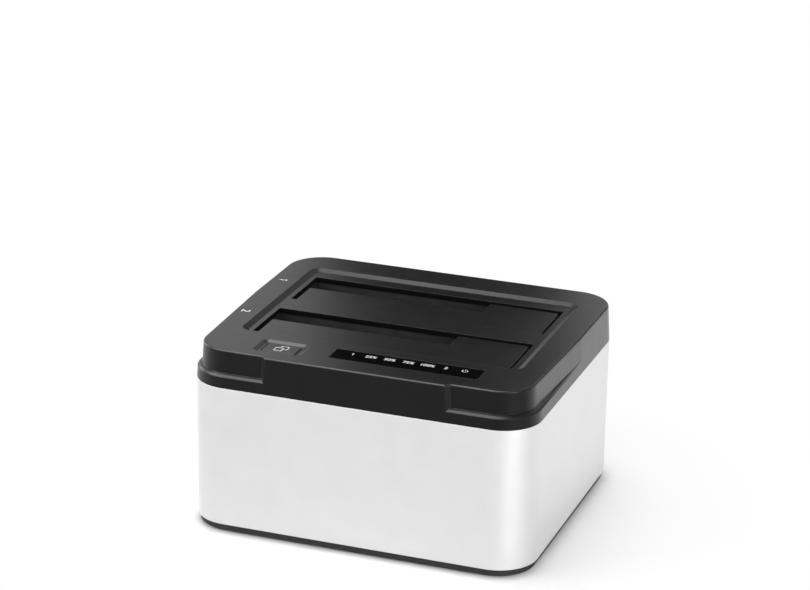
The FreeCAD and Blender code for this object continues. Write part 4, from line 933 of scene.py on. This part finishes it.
@dataclass
class BoardDetails:
    """Small things on the main board: the chips' leads and round capacitors.

    Args:
        width: Width of a chip's lead.
        pitch: Step between leads.
        reach: How far a lead stands out from its chip.
        thickness: Thickness of a lead.
        root: How far a lead goes into its chip.
        margin: Length of a chip's side without leads, both ends together.
    """

    width: float = 0.00030
    pitch: float = 0.00065
    reach: float = 0.00110
    thickness: float = 0.00015
    root: float = 0.0001
    margin: float = 0.0008

    # A lead's line from its chip to the board: share of its reach, and height.
    LEAD = ((0.3, 0.0006), (0.45, 0.00055), (0.55, 0.0001), (0.68, 0.00002), (1.0, 0.00002))
    CHIPS = (Chip(0.033, -0.046, 0.0052, 0.0062, (0, 2)),
             Chip(0.041, -0.046, 0.0040, 0.0050, (0, 2)),
             Chip(-0.008, -0.046, 0.0065, 0.0065, (1, 3)),
             Chip(0.016, 0.048, 0.0050, 0.0062, (0, 2)))
    # A capacitor with its rolled waist, as pairs of radius and height.
    CAN = ((0.0031, 0.0), (0.0031, 0.0009), (0.0030, 0.0011), (0.0027, 0.0013), (0.0027, 0.0017),
           (0.0030, 0.0019), (0.00314, 0.0021), (0.00314, 0.0073), (0.0030, 0.00755),
           (0.0026, 0.00762), (0.0024, 0.00745), (0.0002, 0.00745))
    CAN_SIDES = 40
    CAN_SPOTS = ((-0.033, -0.046), (-0.0505, 0.051), (-0.014, 0.050), (0.045, 0.052))
    # The scored lines on its top: their turns in degrees, half length, width, height and foot.
    SCORE_TURNS = (0, 60, 120)
    SCORE_HALF, SCORE_WIDTH, SCORE_HEIGHT, SCORE_FOOT = 0.0018, 0.00022, 0.00008, 0.00744

    def lead(self, mesh: Mesh, place: Matrix) -> None:
        """One bent lead, from the chip's side down to the board.

        Args:
            mesh: Mesh to add to.
            place: Foot of the chip's side, with X pointing outwards.
        """
        half, thick = self.width / 2, self.thickness
        line = [(-self.root, self.LEAD[0][1]),
                *((share * self.reach, up) for share, up in self.LEAD)]
        Form.skin(mesh, [[place @ Vector((out, side, up + lift))
                          for side, lift in ((-half, 0), (half, 0), (half, thick), (-half, thick))]
                         for out, up in line])

    def leads(self, mesh: Mesh, chip: Chip, level: float) -> None:
        """Leads along some sides of a chip.

        Args:
            mesh: Mesh to add to.
            chip: The chip.
            level: Top of the board.
        """
        for side in chip.sides:
            turned = (Matrix.Translation((chip.across, chip.deep, level))
                      @ Matrix.Rotation(math.pi / 2 * side, 4, "Z"))
            out, along = (chip.wide, chip.long) if side % 2 == 0 else (chip.long, chip.wide)
            count = int((along - self.margin) / self.pitch)
            for index in range(count):
                shift = (index - (count - 1) / 2) * self.pitch
                self.lead(mesh, turned @ Matrix.Translation((out / 2, shift, 0)))

    def cans(self, level: float) -> Mesh:
        """Round capacitors with a rolled waist and a scored top.

        Args:
            level: Top of the board.

        Returns:
            Their mesh.
        """
        mesh = bmesh.new()
        line = [(-self.SCORE_HALF, 0), (self.SCORE_HALF, 0)]
        for across, deep in self.CAN_SPOTS:
            Form.lathe(mesh, self.CAN, (across, deep, level), self.CAN_SIDES)
            place = Matrix.Translation((across, deep, level + self.SCORE_FOOT))
            for turn in self.SCORE_TURNS:
                bar = place @ Matrix.Rotation(math.radians(turn), 4, "Z")
                Form.stroke(mesh, line, self.SCORE_WIDTH, bar, height=self.SCORE_HEIGHT)
        return mesh

    def build(self, shop: Workshop) -> None:
        """Makes the leads and the capacitors.

        Args:
            shop: Workshop that dresses them.
        """
        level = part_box("main_board")[1][2]
        low, high = (Vector(corner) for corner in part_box("bridge_chip"))
        bridge = Chip((low.x + high.x) / 2, (low.y + high.y) / 2, high.x - low.x, high.y - low.y,
                      (0, 1, 2, 3))
        leads = bmesh.new()
        for chip in (bridge, *self.CHIPS):
            self.leads(leads, chip, level)
        shop.piece("chip_leads", leads, "terminal_tin", "station")
        shop.piece("capacitor_cans", self.cans(level), "can_aluminium", "station", ("capacitors",))


@dataclass
class RockerMarks:
    """The printed bar and ring on the two halves of the power rocker.

    Args:
        across: How far a sign stands from the rocker's middle.
        line: Width of the printed line.
        size: Height of each sign.
        steps: Points of the ring.
        facing: How far backwards the normal of a half points, at least.
        least: Area of a half, at least, in square metres.
    """

    across: float = 0.003
    line: float = 0.00040
    size: float = 0.0026
    steps: int = 32
    facing: float = 0.8
    least: float = 1e-5

    def place(self, across: float) -> Matrix:
        """Where a sign goes on the rocker's slanting face.

        Args:
            across: Its distance from the rocker's middle along X.

        Returns:
            Its place, with Y upwards and Z out of the face.
        """
        low, high = (Vector(corner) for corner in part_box("power_rocker"))
        middle = (low + high) / 2
        face = max((face for face in frame["nodes"]["power_rocker"].data.polygons
                    if face.normal.y > self.facing and face.area > self.least
                    and (face.center.x - middle.x) * across > 0), key=lambda item: item.area)
        normal = face.normal.normalized()
        spot = Vector((middle.x + across, 0, middle.z))
        spot.y = face.center.y - (normal.x * (spot.x - face.center.x)) / normal.y
        upright = Vector((0, 0, 1))
        side = upright.cross(normal).normalized()
        place = Matrix((side, upright, normal)).transposed().to_4x4()
        place.translation = spot
        return place

    def build(self, shop: Workshop) -> None:
        """Makes the signs on the rocker's two faces.

        Args:
            shop: Workshop that dresses them.
        """
        mesh = bmesh.new()
        half = self.size / 2
        Form.stroke(mesh, [(0, -half), (0, half)], self.line, self.place(-self.across))
        ring = [(half * math.cos(turn), half * math.sin(turn)) for turn in Form.turns(self.steps)]
        Form.stroke(mesh, ring, self.line, self.place(self.across), closed=True)
        shop.piece("rocker_signs", mesh, "tongue_white", "power_rocker")


@dataclass(frozen=True)
class Lamp:
    """One soft square lamp.

    Args:
        name: Name of the lamp.
        place: Where it hangs.
        size: Side of the square.
        power: Power, in watts.
        sheen: Whether it lights nothing and shows in reflections alone.
        target: Where it points.
    """

    name: str
    place: Point
    size: float
    power: float
    sheen: bool = False
    target: Point = (0.0, 0.0, 0.04)

    def hang(self) -> None:
        """Hangs the lamp in the scene."""
        data = bpy.data.lights.new(self.name, "AREA")
        data.size = self.size
        data.energy = self.power
        lamp = bpy.data.objects.new(self.name, data)
        lamp.location = self.place
        heading = Vector(self.target) - Vector(self.place)
        lamp.rotation_euler = heading.to_track_quat("-Z", "Y").to_euler()
        lamp.visible_camera = lamp.visible_diffuse = not self.sheen
        bpy.context.scene.collection.objects.link(lamp)


LAMPS: tuple[Lamp, ...] = (
    Lamp("lamp_left", (-1.60, -0.95, 1.15), 1.1, 11.8),
    Lamp("lamp_right", (1.35, -1.05, 0.75), 0.9, 10.3),
    Lamp("lamp_above", (-0.4, 0.3, 1.7), 1.2, 12.5),
    Lamp("lamp_edge", (-0.35, -0.30, 0.95), 1.1, 38.0, sheen=True),
    Lamp("lamp_low", (0.28, 0.20, 0.003), 0.4, 0.15, sheen=True, target=(0.28, 0.20, 1.0)),
    Lamp("lamp_corner_left", (-1.2, 0.2, 0.30), 0.8, 7.0, sheen=True),
    Lamp("lamp_corner_right", (1.0, -0.80, 0.30), 0.8, 15.0, sheen=True),
)


@dataclass
class Studio:
    """Camera at the photograph's viewpoint, pale floor, white surroundings and soft lamps.

    Args:
        azimuth: Camera's turn to the right of the front, in degrees.
        elevation: Camera's height angle, in degrees.
        roll: Camera's roll, in degrees.
        distance: Distance from the origin, in metres.
        across: Shift of the camera along its right, in metres.
        up: Shift of the camera along its up, in metres.
        drop: How far the camera comes down, in metres.
        lens: Focal length, in millimetres.
        sensor: Width of the image that it is meant for, in millimetres.
        clip: Nearest and farthest distance that the camera sees, in metres.
        ambient: Light of the surroundings on the object.
        floor: Colour of the floor.
        fleck: How far the floor's colour wanders either way.
        fleck_size: Size of the floor's blotches, in metres.
        matt: Roughness of the floor.
        reach: How far the floor goes each way, in metres.
        cells: Cells of the floor's mesh along each side.
        under: How far the floor lies under the feet, in metres.
        near: Distance from the middle up to which the floor is plain, in metres.
        away: Distance from which it is as white as the surroundings, in metres.
        behind: Place of the dark boards along Y.
        dark: Left, right, lower and upper edge of each dark board.
        paint: Colour of the dark boards.
    """

    azimuth: float = 19.67
    elevation: float = 19.99
    roll: float = 1.03
    distance: float = 1.1177
    across: float = 0.000081
    up: float = 0.0822
    drop: float = 0.00117
    lens: float = 122.48
    sensor: float = 36.0
    clip: tuple[float, float] = (0.01, 50.0)
    ambient: float = 0.55
    floor: float = 0.94
    fleck: float = 0.01
    fleck_size: float = 0.02
    matt: float = 0.9
    reach: float = 6.0
    cells: int = 8
    under: float = 0.0001
    near: float = 0.075
    away: float = 0.150
    behind: float = 0.45
    dark: tuple[tuple[float, float, float, float], ...] = ((-0.215, -0.06, 0.12, 0.55),
                                                           (0.14, 0.32, 0.16, 0.42))
    paint: Colour = (0.01, 0.01, 0.01)

    def camera(self) -> None:
        """Sets up the camera."""
        turn, rise, roll = (math.radians(angle)
                            for angle in (self.azimuth, self.elevation, self.roll))
        back = Vector((math.sin(turn) * math.cos(rise), -math.cos(turn) * math.cos(rise),
                       math.sin(rise)))
        right = (-back).cross(Vector((0, 0, 1))).normalized()
        upward = right.cross(-back)
        tilted = right * math.cos(roll) + upward * math.sin(roll)
        above = upward * math.cos(roll) - right * math.sin(roll)
        place = Matrix((tilted, above, back)).transposed().to_4x4()
        place.translation = (back * self.distance + tilted * self.across + above * self.up
                             - Vector((0, 0, self.drop)))
        data = bpy.data.cameras.new("photo_camera")
        data.lens = self.lens
        data.sensor_width = self.sensor
        data.sensor_fit = "HORIZONTAL"
        data.clip_start, data.clip_end = self.clip
        camera = bpy.data.objects.new("photo_camera", data)
        camera.matrix_world = place
        bpy.context.scene.collection.objects.link(camera)
        bpy.context.scene.camera = camera

    def world(self) -> None:
        """White to the camera and to reflections, and an even soft light on the object."""
        tree = NodeTree(bpy.data.worlds.new("studio"))
        background = tree.add("ShaderNodeBackground")
        background.inputs["Color"].default_value = (1, 1, 1, 1)
        tree.link(tree.span(tree.watched(), self.ambient, 1.0), background.inputs["Strength"])
        tree.show(background.outputs["Background"], "ShaderNodeOutputWorld")
        bpy.context.scene.world = tree.owner

    def ground(self) -> None:
        """Lays the pale floor, which is no part of the object."""
        mesh = bmesh.new()
        bmesh.ops.create_grid(mesh, x_segments=self.cells, y_segments=self.cells, size=self.reach)
        tree = NodeTree(bpy.data.materials.new("studio_floor"))
        place = tree.add("ShaderNodeTexCoord").outputs["Object"]
        shader = tree.add("ShaderNodeBsdfPrincipled")
        shader.inputs["Roughness"].default_value = self.matt
        shader.inputs["Specular IOR Level"].default_value = 0.0
        tones = tree.tones(tree.noise(place, self.fleck_size), (self.floor - self.fleck,) * 3,
                           (self.floor + self.fleck,) * 3)
        tree.link(tones, shader.inputs["Base Color"])
        far = tree.add("ShaderNodeVectorMath", operation="LENGTH")
        tree.link(place, far.inputs[0])
        fade = tree.span(far.outputs["Value"], 0.0, 1.0, self.near, self.away)
        blend = tree.add("ShaderNodeMixShader")
        tree.link(tree.maths("MULTIPLY", tree.watched(), fade), blend.inputs[0])
        tree.link(shader.outputs["BSDF"], blend.inputs[1])
        tree.link(tree.add("ShaderNodeEmission").outputs["Emission"], blend.inputs[2])
        tree.show(blend.outputs["Shader"])
        floor = place_mesh("studio_floor", mesh, tree.owner)
        floor.location.z = -self.under

    def boards(self) -> None:
        """Stands dark boards behind the object, which show in reflections alone."""
        mesh = bmesh.new()
        for left, right, low, high in self.dark:
            corners = ((left, low), (right, low), (right, high), (left, high))
            mesh.faces.new([mesh.verts.new((across, self.behind, level))
                            for across, level in corners])
        tree = NodeTree(bpy.data.materials.new("studio_boards"))
        paint = tree.add("ShaderNodeBsdfDiffuse")
        paint.inputs["Color"].default_value = (*self.paint, 1)
        tree.show(paint.outputs["BSDF"])
        boards = place_mesh("studio_boards", mesh, tree.owner)
        for sight in ("camera", "diffuse", "transmission", "volume_scatter", "shadow"):
            setattr(boards, f"visible_{sight}", False)

    def build(self) -> None:
        """Sets up the whole studio."""
        bpy.context.scene.view_settings.view_transform = "Standard"
        self.camera()
        self.world()
        self.ground()
        self.boards()
        for lamp in LAMPS:
            lamp.hang()


def main() -> None:
    """Builds the studio, the finishes and every piece."""
    logging.basicConfig(level=logging.INFO, format="%(message)s")
    Studio().build()
    materials = {finish.slot: FinishMaker(finish).build() for finish in FINISHES}
    dress_nodes(materials)
    shop = Workshop(materials)
    for maker in (StatusWindow(), ButtonIcon(), BayFigures(), FlapSpring("front"),
                  FlapSpring("rear"), RibbonCable(), Feet(), BoardDetails(), RockerMarks()):
        maker.build(shop)


if __name__ == "__main__":
    main()
